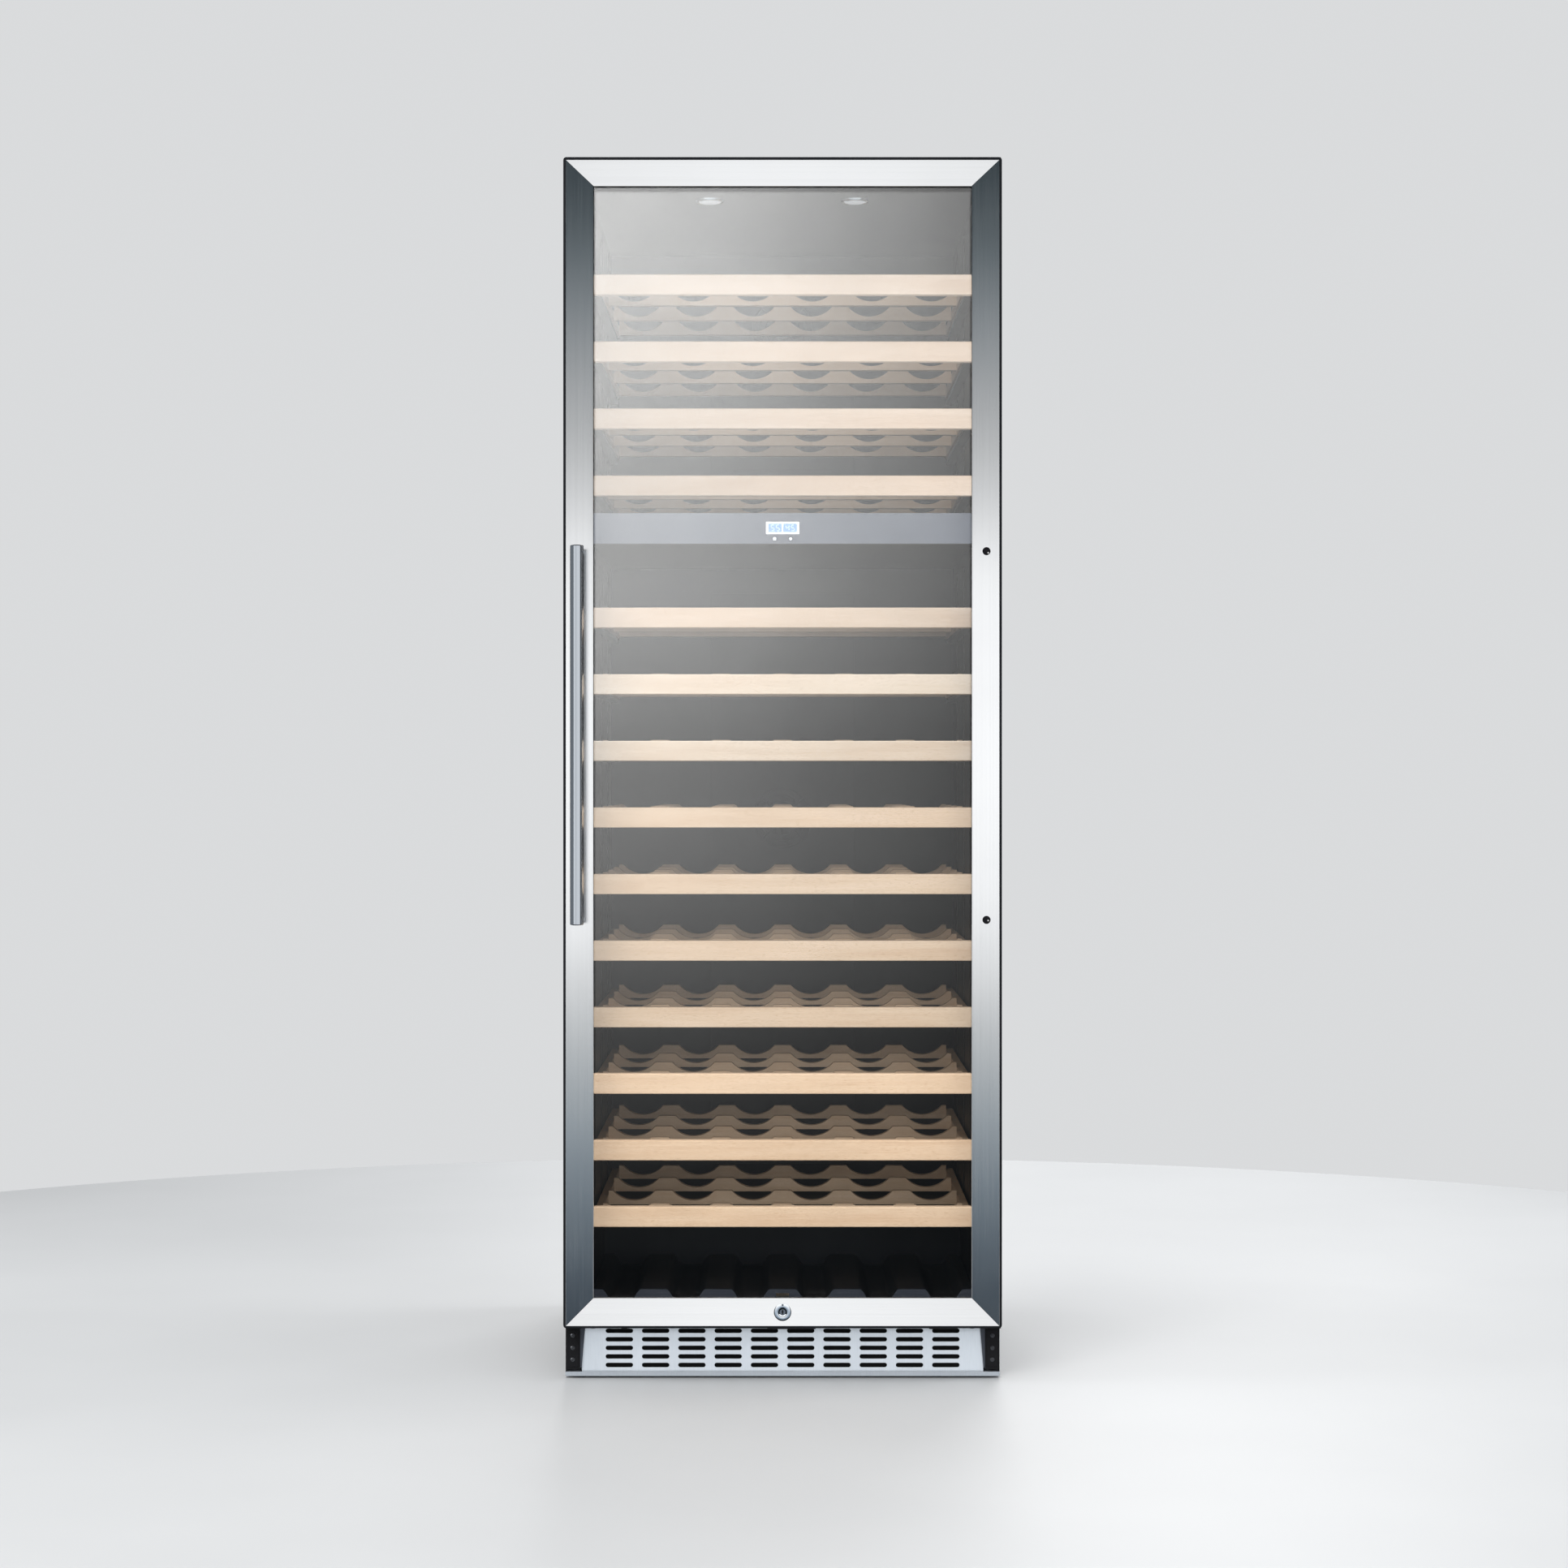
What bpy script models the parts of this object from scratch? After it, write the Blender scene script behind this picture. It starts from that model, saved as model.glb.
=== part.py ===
"""Tall built-in wine cooler with two zones, fourteen wooden shelves and a glass door hinged on the right.

Metres, +Z up. The origin is on the floor, under the middle of the bounding box. Facing the door, +X is to the
right and +Y runs towards the back. The door is closed, unlocked, and every shelf is pushed home.
"""

import math

import bmesh
import bpy
from mathutils import Matrix, Vector

# Overall size
WIDTH = 0.595
DEPTH = 0.709  # front of the handle to the back of the cord gland
HEIGHT = 1.665
GAP = 0.0003  # clearance between solids that touch
SHEET = 0.001  # case sheet steel
SIDE = WIDTH / 2

# Planes along Y, from front to back
HANDLE_REACH = 0.049
DOOR_THICKNESS = 0.042
GASKET_SPACE = 0.008
GLAND_PROUD = 0.002
DOOR_FRONT = -DEPTH / 2 + HANDLE_REACH
DOOR_BACK = DOOR_FRONT + DOOR_THICKNESS
CABINET_FRONT = DOOR_BACK + GASKET_SPACE
CABINET_BACK = DEPTH / 2 - GLAND_PROUD

# Rear panel with its vents and cord gland
VENT_HALF_LENGTH = 0.12
VENT_HEIGHT = 0.006
VENT_Z = (0.050, 0.068, 0.086, 0.104, 0.122)
GLAND_X = -0.245
GLAND_Z = 0.060
GLAND_RADIUS = 0.008
GLAND_HOLE_RADIUS = 0.0085
GLAND_FLANGE_RADIUS = 0.012
GLAND_BORE_RADIUS = 0.004
GLAND_LENGTH = 0.012

# Base, kick grille and feet
FOOT_HEIGHT = 0.003
BASE_SIDE = SIDE - 0.0005
BASE_TOP = 0.005
BASE_LIP_Y = CABINET_FRONT - 0.0145
BASE_LIP_THICKNESS = 0.002
BASE_LIP_TOP = 0.009
FOOT_X = 0.255
FOOT_Y = (-0.225, 0.310)
FOOT_RADIUS = 0.016
STUD_RADIUS = 0.004
STUD_TOP = 0.030
STUD_CLEARANCE = 0.0008
GRILLE_SIDE = 0.2755
GRILLE_Y = CABINET_FRONT + 0.0045
GRILLE_THICKNESS = 0.0015
SLOT_LENGTH = 0.0376
SLOT_HEIGHT = 0.0061
SLOT_PITCH_X = 0.0498
SLOT_PITCH_Z = 0.01175
SLOT_COLUMNS = 10
SLOT_ROWS = 5
LOWEST_SLOT_Z = 0.0147

# Hinge brackets at the door's corners
BRACKET_FACE = (CABINET_FRONT - 0.0028, CABINET_FRONT - GAP)
BRACKET_LOW = 0.010
BRACKET_INNER_X = 0.2775
BRACKET_OUTER_X = SIDE - 0.0005
GUSSET_ROOT_X = 0.281
GUSSET_TOP_X = 0.2705
GUSSET_FOOT_X = 0.2755
GUSSET_INSET = 0.002
GUSSET_DEPTH = 0.004
TONGUE_X = 0.270
TONGUE_REACH = 0.008  # in front of the hinge pin
LOWER_TONGUE_THICKNESS = 0.0023
UPPER_TONGUE_THICKNESS = 0.002
UPPER_LEG_X = (0.268, SIDE - 0.0013)
UPPER_LEG_LOW = 1.6505
PIN_LENGTH = 0.0115

# Liner, whose floor steps up at the back over the machine compartment
LINER_SIDE = 0.2645
LINER_WALL = 0.002
LINER_FLOOR = 0.095
LINER_CEILING = 1.626
LINER_BACK = 0.300
STEP_Y = 0.120
STEP_TOP = 0.190
FOAM_BOTTOM = 0.076
MACHINE_Y = 0.144
MACHINE_TOP = 0.166

# Corrugated bottle cradle on the liner's floor
CRADLE_SIDE = LINER_SIDE - 0.002
CRADLE_Y = (-0.212, 0.117)
CRADLE_PITCH = 0.0893
CRADLE_TOP = 0.1135
CRADLE_VALLEY = 0.0976
CRADLE_RIDGE_HALF = 0.017  # half the flat top between two valleys
CRADLE_FOLD_END = 0.033
CRADLE_SHEET = 0.002

# Shelves
SHELF_SIDE = 0.261
SHELF_FRONT = -0.2305
SHELF_BACK = 0.262
FASCIA_THICKNESS = 0.018
FASCIA_HEIGHT = 0.028
RAIL_WIDTH = 0.0115
RAIL_LOW = -0.007  # heights from the middle of the front board
RAIL_HIGH = 0.009
SLAT_LOW = -0.0045
SLAT_HIGH = 0.0155
SLAT_THICKNESS = 0.014
SLAT_Y = (-0.199, -0.055, 0.095, 0.247)
BOTTLES_ACROSS = 6
BOTTLE_PITCH = 0.085
SCALLOP_RADIUS = 0.040
SCALLOP_DEPTH = 0.014
RIB_HEIGHT = 0.006
RIB_INNER_X = 0.252
RIB_Y = (-0.205, 0.290)
LOWER_SHELVES = 10
LOWER_SHELF_Z = 0.2149
LOWER_PITCH = 0.09186
UPPER_SHELVES = 4
UPPER_SHELF_Z = 1.2240
UPPER_PITCH = 0.0925

# Control panel between the zones
PANEL_LOW = 1.143
PANEL_HIGH = 1.1855
PANEL_THICKNESS = 0.020
PANEL_FRONT = SHELF_FRONT - 0.005
DISPLAY_WIDTH = 0.046
DISPLAY_LOW = 1.1566
DISPLAY_HIGH = 1.1736
DISPLAY_DEPTH = 0.002
DISPLAY_PROUD = 0.0002
DIVIDER_Z = (1.144, 1.1845)
BUTTON_X = 0.011
BUTTON_Z = 1.150
BUTTON_RADIUS = 0.00325
BUTTON_PROUD = 0.0008

# Door
DOOR_LOW = 0.0742
DOOR_HIGH = 1.6626
DOOR_CORNER = 0.004
TRIM_SIDE = 0.2937
TRIM_LOW = 0.0777
TRIM_HIGH = 1.6583
TRIM_THICKNESS = 0.0025
BORDER_SET_BACK = 0.0005
WINDOW_SIDE = 0.2563
WINDOW_LOW = 0.1155
WINDOW_HIGH = 1.6230
MITRE_GAP = 0.0004
GLASS_SIDE = 0.262
GLASS_LOW = 0.110
GLASS_HIGH = 1.629
GLASS_THICKNESS = 0.004
GLASS_SET_BACK = 0.0055
UNIT_THICKNESS = 0.020
SPACER_WIDTH = 0.0044
HINGE_X = 0.2835
HINGE_Y = DOOR_BACK - 0.020
PIN_RADIUS = 0.0035
GASKET_SIDE = 0.283
GASKET_LOW = 0.0785
GASKET_HIGH = 1.6485
GASKET_WIDTH = 0.012
STUB_X = 0.258
STUB_Y = -0.286
STUB_RADIUS = 0.004
STUB_REACH = 0.003

# Handle, hole plugs and lock
HANDLE_X = -0.2765
HANDLE_Z = 0.8780
HANDLE_LENGTH = 0.511
HANDLE_RADIUS = 0.009
POST_SPACING = 0.500
POST_RADIUS = 0.005
PLUG_RADIUS = 0.0055
PLUG_HOLE_RADIUS = 0.004
LOCK_Z = 0.096
BEZEL_RADIUS = 0.012
BARREL_RADIUS = 0.0085
PLUG_CORE_RADIUS = 0.006
LOCK_TAIL_RADIUS = 0.0035
CAM_LENGTH = 0.013
CAM_HALF_WIDTH = 0.0038
CAM_Y = (DOOR_BACK + 0.0005, DOOR_BACK + 0.0025)
KEYHOLE_HALF_WIDTH = 0.0008
KEYHOLE_HALF_HEIGHT = 0.0042
PIP_OFFSET = 0.0092
PIP_RADIUS = 0.0012

# Keeper that the lock's cam turns behind
KEEPER_SIDE = 0.009
KEEPER_SHEET = 0.0015
KEEPER_TAB_Y = DOOR_BACK - 0.003
KEEPER_LEG_Y = CABINET_FRONT + 0.009
KEEPER_TOP = LOCK_Z + 0.0165
KEEPER_TAB_LOW = LOCK_Z + 0.0055
KEEPER_FOOT = 0.018

# Ceiling lamps, air ducts, fans and machine compartment
LAMP_X = 0.101
LAMP_Y = -0.1875
LAMP_RADIUS = 0.020
DUCT_SIDE = 0.110
DUCT_FRONT = 0.275
DUCT_SHELL = 0.0025
UPPER_DUCT = (1.215, 1.600)
LOWER_DUCT = (0.230, 1.105)
FAN_RADIUS = 0.043
FAN_BLADES = 5
BLADE_HALF_CHORD = 0.28  # of the radius
BLADE_HALF_THICKNESS = 0.0008
BLADE_PITCH = 24
UPPER_FAN_Z = 1.510
LOWER_FAN_Z = 0.760
FAN_Y = 0.2905
SPOKE_HALF_WIDTH = 0.003
COMPRESSOR_X = 0.125
COMPRESSOR_Y = 0.245
COMPRESSOR_PLATE = (0.075, 0.055, 0.014)  # half width, half depth and top above the base
CONDENSER_LOW = (-0.235, 0.170)
CONDENSER_HIGH = (-0.0935, 0.320, 0.150)
CONDENSER_FINS = 13
FIN_ROOT = 0.006
FIN_GAP_SHARE = 0.7
SHROUD_X = (-0.0945, -0.0915)
CONDENSER_FAN_X = -0.070
CONDENSER_FAN_RADIUS = 0.052
CONDENSER_FAN_Z = 0.080

UP = Vector((0, 0, 1))


def clear_scene():
    for item in list(bpy.data.objects):
        bpy.data.objects.remove(item)


def new_collection(name):
    collection = bpy.data.collections.new(name)
    bpy.context.scene.collection.children.link(collection)
    return collection


def finish(name, colour, roughness, metallic=0.0, alpha=1.0):
    """A Principled material."""
    material = bpy.data.materials.new(name)
    material.use_nodes = True
    shader = material.node_tree.nodes["Principled BSDF"]
    shader.inputs["Base Color"].default_value = (*colour, 1.0)
    shader.inputs["Roughness"].default_value = roughness
    shader.inputs["Metallic"].default_value = metallic
    shader.inputs["Alpha"].default_value = alpha
    material.diffuse_color = (*colour, alpha)
    return material


def mesh_of(shape, name="shape"):
    """A mesh made from a bmesh, which is freed."""
    bmesh.ops.recalc_face_normals(shape, faces=shape.faces)
    mesh = bpy.data.meshes.new(name)
    shape.to_mesh(mesh)
    shape.free()
    return mesh


def box(low, high):
    """A box between two corners."""
    low = Vector(low)
    high = Vector(high)
    shape = bmesh.new()
    place = Matrix.Translation((low + high) / 2) @ Matrix.Diagonal((*(high - low), 1.0))
    bmesh.ops.create_cube(shape, size=1.0, matrix=place)
    return mesh_of(shape)


def wide_box(half_width, y, z):
    """A box that is symmetric about the middle plane. y and z are pairs of limits."""
    return box((-half_width, y[0], z[0]), (half_width, y[1], z[1]))


def rod(start, end, radius, sides=16):
    """A round bar from one point to another."""
    start = Vector(start)
    end = Vector(end)
    turn = UP.rotation_difference(end - start).to_matrix().to_4x4()
    place = Matrix.Translation((start + end) / 2) @ turn
    length = (end - start).length
    shape = bmesh.new()
    bmesh.ops.create_cone(
        shape, cap_ends=True, segments=sides, radius1=radius, radius2=radius, depth=length, matrix=place
    )
    return mesh_of(shape)


def plate(outline, y):
    """A flat outline of (x, z) points, filled and given its thickness along Y between a pair of limits."""
    curve = bpy.data.curves.new("outline", "CURVE")
    curve.dimensions = "2D"
    curve.fill_mode = "BOTH"
    curve.extrude = (y[1] - y[0]) / 2
    spline = curve.splines.new("POLY")
    spline.points.add(len(outline) - 1)
    for point, (x, z) in zip(spline.points, outline):
        point.co = (x, z, 0, 1)
    spline.use_cyclic_u = True
    holder = bpy.data.objects.new("outline", curve)
    bpy.context.scene.collection.objects.link(holder)
    graph = bpy.context.evaluated_depsgraph_get()
    mesh = bpy.data.meshes.new_from_object(holder.evaluated_get(graph))
    bpy.data.objects.remove(holder)
    shape = bmesh.new()
    shape.from_mesh(mesh)
    bmesh.ops.remove_doubles(shape, verts=shape.verts, dist=1e-6)
    bmesh.ops.transform(shape, matrix=Matrix.Rotation(math.pi / 2, 4, "X"), verts=shape.verts)
    bmesh.ops.translate(shape, vec=(0, (y[0] + y[1]) / 2, 0), verts=shape.verts)
    return mesh_of(shape)


def joined(meshes):
    """One mesh that holds several shapes which stay clear of each other."""
    shape = bmesh.new()
    for mesh in meshes:
        shape.from_mesh(mesh)
    return mesh_of(shape)


def moved(mesh, matrix):
    mesh.transform(matrix)
    return mesh


def place_object(name, mesh, material, collection, origin=None, parent=None):
    """An object whose origin is at the given point, or else in the middle of its shape."""
    if origin is None:
        corners = [vertex.co for vertex in mesh.vertices]
        low = Vector(min(corner[axis] for corner in corners) for axis in range(3))
        high = Vector(max(corner[axis] for corner in corners) for axis in range(3))
        origin = (low + high) / 2
    origin = Vector(origin)
    mesh.transform(Matrix.Translation(-origin))
    mesh.name = name
    item = bpy.data.objects.new(name, mesh)
    item.location = origin
    if parent:
        item.parent = parent
        item.location = origin - parent.location
    if material:
        mesh.materials.append(material)
    collection.objects.link(item)
    return item


def boolean(item, mesh, operation):
    """Adds or cuts a shape, which stays in the file as a wire helper."""
    helper = place_object(f"{item.name}_tool_{len(item.modifiers) + 1}", mesh, None, CUTTERS)
    helper.hide_render = True
    helper.display_type = "WIRE"
    modifier = item.modifiers.new(operation.lower(), "BOOLEAN")
    modifier.operation = operation
    modifier.object = helper
    modifier.solver = "EXACT"


def part(name, material, mesh, add=(), cut=(), origin=None, parent=None):
    """One named sub-part: a shape, what is added to it, and then what is cut from it."""
    item = place_object(name, mesh, material, PARTS, origin, parent)
    for shape in add:
        boolean(item, shape, "UNION")
    for shape in cut:
        boolean(item, shape, "DIFFERENCE")
    return item


def smooth(item, angle=35):
    item.data.shade_smooth()
    item.data.set_sharp_from_angle(angle=math.radians(angle))


def axis_empty(name, location, parent=None):
    """An empty on a joint's axis, which carries the pieces that move together."""
    empty = bpy.data.objects.new(name, None)
    empty.empty_display_size = 0.05
    empty.location = Vector(location)
    if parent:
        empty.parent = parent
        empty.location = Vector(location) - parent.location
    PARTS.objects.link(empty)
    return empty


def rounded_rectangle(half_width, low, high, radius, steps=3):
    """Outline points, corner by corner, with each corner as a quarter circle."""
    centres = (
        (half_width - radius, high - radius),
        (radius - half_width, high - radius),
        (radius - half_width, low + radius),
        (half_width - radius, low + radius),
    )
    outline = []
    for corner, (x, z) in enumerate(centres):
        for step in range(steps + 1):
            angle = math.pi / 2 * (corner + step / steps)
            outline.append((x + radius * math.cos(angle), z + radius * math.sin(angle)))
    return outline


def shelf_heights():
    """Middle heights of the front boards, from the bottom shelf to the top one."""
    lower = [LOWER_SHELF_Z + LOWER_PITCH * index for index in range(LOWER_SHELVES)]
    upper = [UPPER_SHELF_Z + UPPER_PITCH * index for index in range(UPPER_SHELVES)]
    return lower + upper


def build_case():
    inner_side = SIDE - SHEET - GAP
    depth = (CABINET_FRONT, CABINET_BACK)
    side_low = BASE_TOP + GAP
    for name, sign in (("left_side_panel", -1), ("right_side_panel", 1)):
        corners = sorted((sign * SIDE, sign * (SIDE - SHEET)))
        part(name, BLACK_PAINT, box((corners[0], depth[0], side_low), (corners[1], depth[1], HEIGHT)))
    part("top_panel", BLACK_PAINT, wide_box(inner_side, depth, (HEIGHT - SHEET, HEIGHT)))
    build_back(inner_side, side_low)


def gland_rod(start, end, radius, sides=16):
    """A round shape on the cord gland's axis, between two distances behind the rear panel."""
    low = (GLAND_X, CABINET_BACK + start, GLAND_Z)
    high = (GLAND_X, CABINET_BACK + end, GLAND_Z)
    return rod(low, high, radius, sides)


def build_back(inner_side, low):
    """Rear panel with vents for the machine compartment, and the bush for the cord."""
    through = (CABINET_BACK - 0.01, CABINET_BACK + 0.01)
    holes = [wide_box(VENT_HALF_LENGTH, through, (z, z + VENT_HEIGHT)) for z in VENT_Z]
    holes.append(gland_rod(-0.01, 0.01, GLAND_HOLE_RADIUS))
    sheet = wide_box(inner_side, (CABINET_BACK - SHEET, CABINET_BACK), (low, HEIGHT - SHEET - GAP))
    part("rear_panel", SILVER, sheet, cut=[joined(holes)])
    body = gland_rod(-GLAND_LENGTH, GLAND_PROUD / 2, GLAND_RADIUS)
    flange = gland_rod(GAP, GLAND_PROUD, GLAND_FLANGE_RADIUS)
    bore = gland_rod(-0.05, 0.05, GLAND_BORE_RADIUS, 12)
    part("cord_gland", RUBBER, body, add=[flange], cut=[bore])


def build_base():
    floor = wide_box(BASE_SIDE, (BASE_LIP_Y, CABINET_BACK), (FOOT_HEIGHT, BASE_TOP))
    lip = wide_box(BASE_SIDE, (BASE_LIP_Y, BASE_LIP_Y + BASE_LIP_THICKNESS), (FOOT_HEIGHT, BASE_LIP_TOP))
    places = [(sign * FOOT_X, y) for y in FOOT_Y for sign in (-1, 1)]
    holes = [rod((x, y, -0.01), (x, y, 0.02), STUD_RADIUS + STUD_CLEARANCE, 12) for x, y in places]
    part("base_plate", SILVER, floor, add=[lip], cut=[joined(holes)])
    names = ("foot_front_left", "foot_front_right", "foot_rear_left", "foot_rear_right")
    for name, (x, y) in zip(names, places):
        pad = rod((x, y, 0), (x, y, FOOT_HEIGHT - GAP), FOOT_RADIUS)
        stud = rod((x, y, 0.001), (x, y, STUD_TOP), STUD_RADIUS, 12)
        part(name, BLACK_PLASTIC, pad, add=[stud], origin=(x, y, 0))


def slot(x, z):
    """A slot with round ends, cut along Y."""
    radius = SLOT_HEIGHT / 2
    outline = []
    for side in (0, 1):
        centre = x + (1 - 2 * side) * (SLOT_LENGTH / 2 - radius)
        for step in range(4):
            angle = math.pi * (side - 0.5 + step / 3)
            outline.append((centre + radius * math.cos(angle), z + radius * math.sin(angle)))
    return plate(outline, (GRILLE_Y - 0.005, GRILLE_Y + 0.005))


def build_kick_grille():
    slots = []
    for column in range(SLOT_COLUMNS):
        for row in range(SLOT_ROWS):
            x = (column - (SLOT_COLUMNS - 1) / 2) * SLOT_PITCH_X
            slots.append(slot(x, LOWEST_SLOT_Z + row * SLOT_PITCH_Z))
    height = (BASE_TOP + GAP, FOAM_BOTTOM - 0.0005)
    sheet = wide_box(GRILLE_SIDE, (GRILLE_Y, GRILLE_Y + GRILLE_THICKNESS), height)
    part("kick_grille", SILVER, sheet, cut=[joined(slots)])


def build_brackets():
    """Lower hinge bracket on the right, its twin without a pin on the left, and the upper hinge bracket."""
    flange = (BRACKET_FACE[1] - 0.0005, BRACKET_FACE[1] + GUSSET_DEPTH)
    high = DOOR_LOW - 0.0004
    root = (BRACKET_LOW + GUSSET_INSET, high - GUSSET_INSET)
    outline = [
        (GUSSET_ROOT_X, root[0]),
        (GUSSET_ROOT_X, root[1]),
        (GUSSET_TOP_X, root[1]),
        (GUSSET_FOOT_X, root[0]),
    ]
    tongue_y = (HINGE_Y - TONGUE_REACH, BRACKET_FACE[1])
    for name, sign in (("corner_bracket_left", -1), ("hinge_bracket_lower", 1)):
        limits = sorted((sign * BRACKET_INNER_X, sign * BRACKET_OUTER_X))
        front = box((limits[0], BRACKET_FACE[0], BRACKET_LOW), (limits[1], BRACKET_FACE[1], high))
        extras = [plate([(sign * x, z) for x, z in outline], flange)]
        if sign > 0:
            low = high - LOWER_TONGUE_THICKNESS
            extras.append(box((TONGUE_X, tongue_y[0], low), (BRACKET_OUTER_X, tongue_y[1], high)))
            pin_top = (HINGE_X, HINGE_Y, high + PIN_LENGTH)
            extras.append(rod((HINGE_X, HINGE_Y, high - 0.001), pin_top, PIN_RADIUS))
        part(name, BLACK_PAINT, front, add=extras)
    leg = box(
        (UPPER_LEG_X[0], BRACKET_FACE[0], UPPER_LEG_LOW),
        (UPPER_LEG_X[1], BRACKET_FACE[1], HEIGHT),
    )
    low = HEIGHT - UPPER_TONGUE_THICKNESS
    tongue = box((TONGUE_X, tongue_y[0], low), (BRACKET_OUTER_X, tongue_y[1], HEIGHT))
    pin = rod((HINGE_X, HINGE_Y, low - PIN_LENGTH), (HINGE_X, HINGE_Y, HEIGHT - 0.0005), PIN_RADIUS)
    part("hinge_bracket_upper", BLACK_PAINT, leg, add=[tongue, pin])


def build_insulation():
    outer = wide_box(
        SIDE - SHEET - GAP,
        (CABINET_FRONT + LINER_WALL + GAP, CABINET_BACK - SHEET - GAP),
        (FOAM_BOTTOM, HEIGHT - SHEET - GAP),
    )
    skin = LINER_WALL + GAP
    front = CABINET_FRONT - 0.01
    hollow_side = LINER_SIDE + skin
    upper = wide_box(hollow_side, (front, LINER_BACK + skin), (STEP_TOP - skin, LINER_CEILING + skin))
    lower = wide_box(hollow_side, (front, STEP_Y + skin), (LINER_FLOOR - skin, STEP_TOP + 0.01))
    machine = wide_box(SIDE + 0.01, (MACHINE_Y, CABINET_BACK + 0.01), (0.0, MACHINE_TOP))
    part("insulation", FOAM, outer, cut=[upper, lower, machine])


def build_liner():
    wall = LINER_WALL
    shell = wide_box(
        LINER_SIDE + wall, (CABINET_FRONT, LINER_BACK + wall), (LINER_FLOOR - wall, LINER_CEILING + wall)
    )
    flange = wide_box(
        SIDE - SHEET - GAP, (CABINET_FRONT, CABINET_FRONT + wall), (FOAM_BOTTOM, HEIGHT - SHEET - GAP)
    )
    front = CABINET_FRONT - 0.01
    upper = wide_box(LINER_SIDE, (front, LINER_BACK), (STEP_TOP, LINER_CEILING))
    lower = wide_box(LINER_SIDE, (front, STEP_Y), (LINER_FLOOR, STEP_TOP + 0.01))
    under_step = wide_box(SIDE, (STEP_Y + wall, CABINET_BACK), (0.05, STEP_TOP - wall))
    ribs = []
    for height in shelf_heights():
        top = height + RAIL_LOW - GAP
        for sign in (-1, 1):
            limits = sorted((sign * RIB_INNER_X, sign * (LINER_SIDE + wall / 2)))
            ribs.append(box((limits[0], RIB_Y[0], top - RIB_HEIGHT), (limits[1], RIB_Y[1], top)))
    liner = part("inner_liner", LINER_BLACK, shell, add=[flange], cut=[upper, lower, under_step])
    boolean(liner, joined(ribs), "UNION")


def build_cradle():
    """A corrugated tray on the liner's floor that holds a row of lying bottles."""
    half = CRADLE_PITCH / 2
    steps = (
        (CRADLE_RIDGE_HALF - half, CRADLE_TOP),
        (CRADLE_FOLD_END - half, CRADLE_VALLEY),
        (half - CRADLE_FOLD_END, CRADLE_VALLEY),
        (half - CRADLE_RIDGE_HALF, CRADLE_TOP),
    )
    profile = [(-CRADLE_SIDE, CRADLE_TOP)]
    for column in range(BOTTLES_ACROSS):
        middle = (column - (BOTTLES_ACROSS - 1) / 2) * CRADLE_PITCH
        profile += [(middle + x, z) for x, z in steps]
    profile.append((CRADLE_SIDE, CRADLE_TOP))
    shape = bmesh.new()
    points = [shape.verts.new((x, CRADLE_Y[0], z)) for x, z in profile]
    edges = [shape.edges.new(pair) for pair in zip(points, points[1:])]
    grown = bmesh.ops.extrude_edge_only(shape, edges=edges)["geom"]
    ends = [item for item in grown if isinstance(item, bmesh.types.BMVert)]
    bmesh.ops.translate(shape, vec=(0, CRADLE_Y[1] - CRADLE_Y[0], 0), verts=ends)
    bmesh.ops.recalc_face_normals(shape, faces=shape.faces)
    if sum(face.normal.z for face in shape.faces) < 0:
        bmesh.ops.reverse_faces(shape, faces=shape.faces)
    mesh = bpy.data.meshes.new("bottle_cradle")
    shape.to_mesh(mesh)
    shape.free()
    cradle = part("bottle_cradle", LINER_BLACK, mesh)
    shell = cradle.modifiers.new("thickness", "SOLIDIFY")
    shell.thickness = CRADLE_SHEET
    shell.offset = -1.0


def build_divider_and_panel():
    side = LINER_SIDE - GAP
    back = PANEL_FRONT + PANEL_THICKNESS
    part("zone_divider", LINER_BLACK, wide_box(side, (back + GAP, LINER_BACK - GAP), DIVIDER_Z))
    half = DISPLAY_WIDTH / 2
    recess = wide_box(
        half + GAP,
        (PANEL_FRONT - 0.01, PANEL_FRONT + DISPLAY_DEPTH),
        (DISPLAY_LOW - GAP, DISPLAY_HIGH + GAP),
    )
    holes = []
    for sign in (-1, 1):
        start = (sign * BUTTON_X, PANEL_FRONT - 0.01, BUTTON_Z)
        end = (sign * BUTTON_X, PANEL_FRONT + 0.007, BUTTON_Z)
        holes.append(rod(start, end, BUTTON_RADIUS + 0.00035, 12))
    bar = wide_box(side, (PANEL_FRONT, back), (PANEL_LOW, PANEL_HIGH))
    part("control_panel", PANEL_GREY, bar, cut=[joined([recess] + holes)])
    depth = (PANEL_FRONT - DISPLAY_PROUD, PANEL_FRONT + DISPLAY_DEPTH - GAP)
    lens = wide_box(half, depth, (DISPLAY_LOW, DISPLAY_HIGH))
    part("display_lens", LENS, lens)
    for name, sign in (("light_button", -1), ("set_button", 1)):
        x = sign * BUTTON_X
        face = (x, PANEL_FRONT - BUTTON_PROUD, BUTTON_Z)
        cap = rod(face, (x, PANEL_FRONT + 0.005, BUTTON_Z), BUTTON_RADIUS, 12)
        smooth(part(name, PANEL_GREY, cap, origin=(x, PANEL_FRONT, BUTTON_Z)))


def build_lamps():
    for name, sign in (("lamp_left", -1), ("lamp_right", 1)):
        low = (sign * LAMP_X, LAMP_Y, LINER_CEILING - 0.006)
        high = (sign * LAMP_X, LAMP_Y, LINER_CEILING - GAP)
        smooth(part(name, LAMP, rod(low, high, LAMP_RADIUS, 24)))


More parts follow.
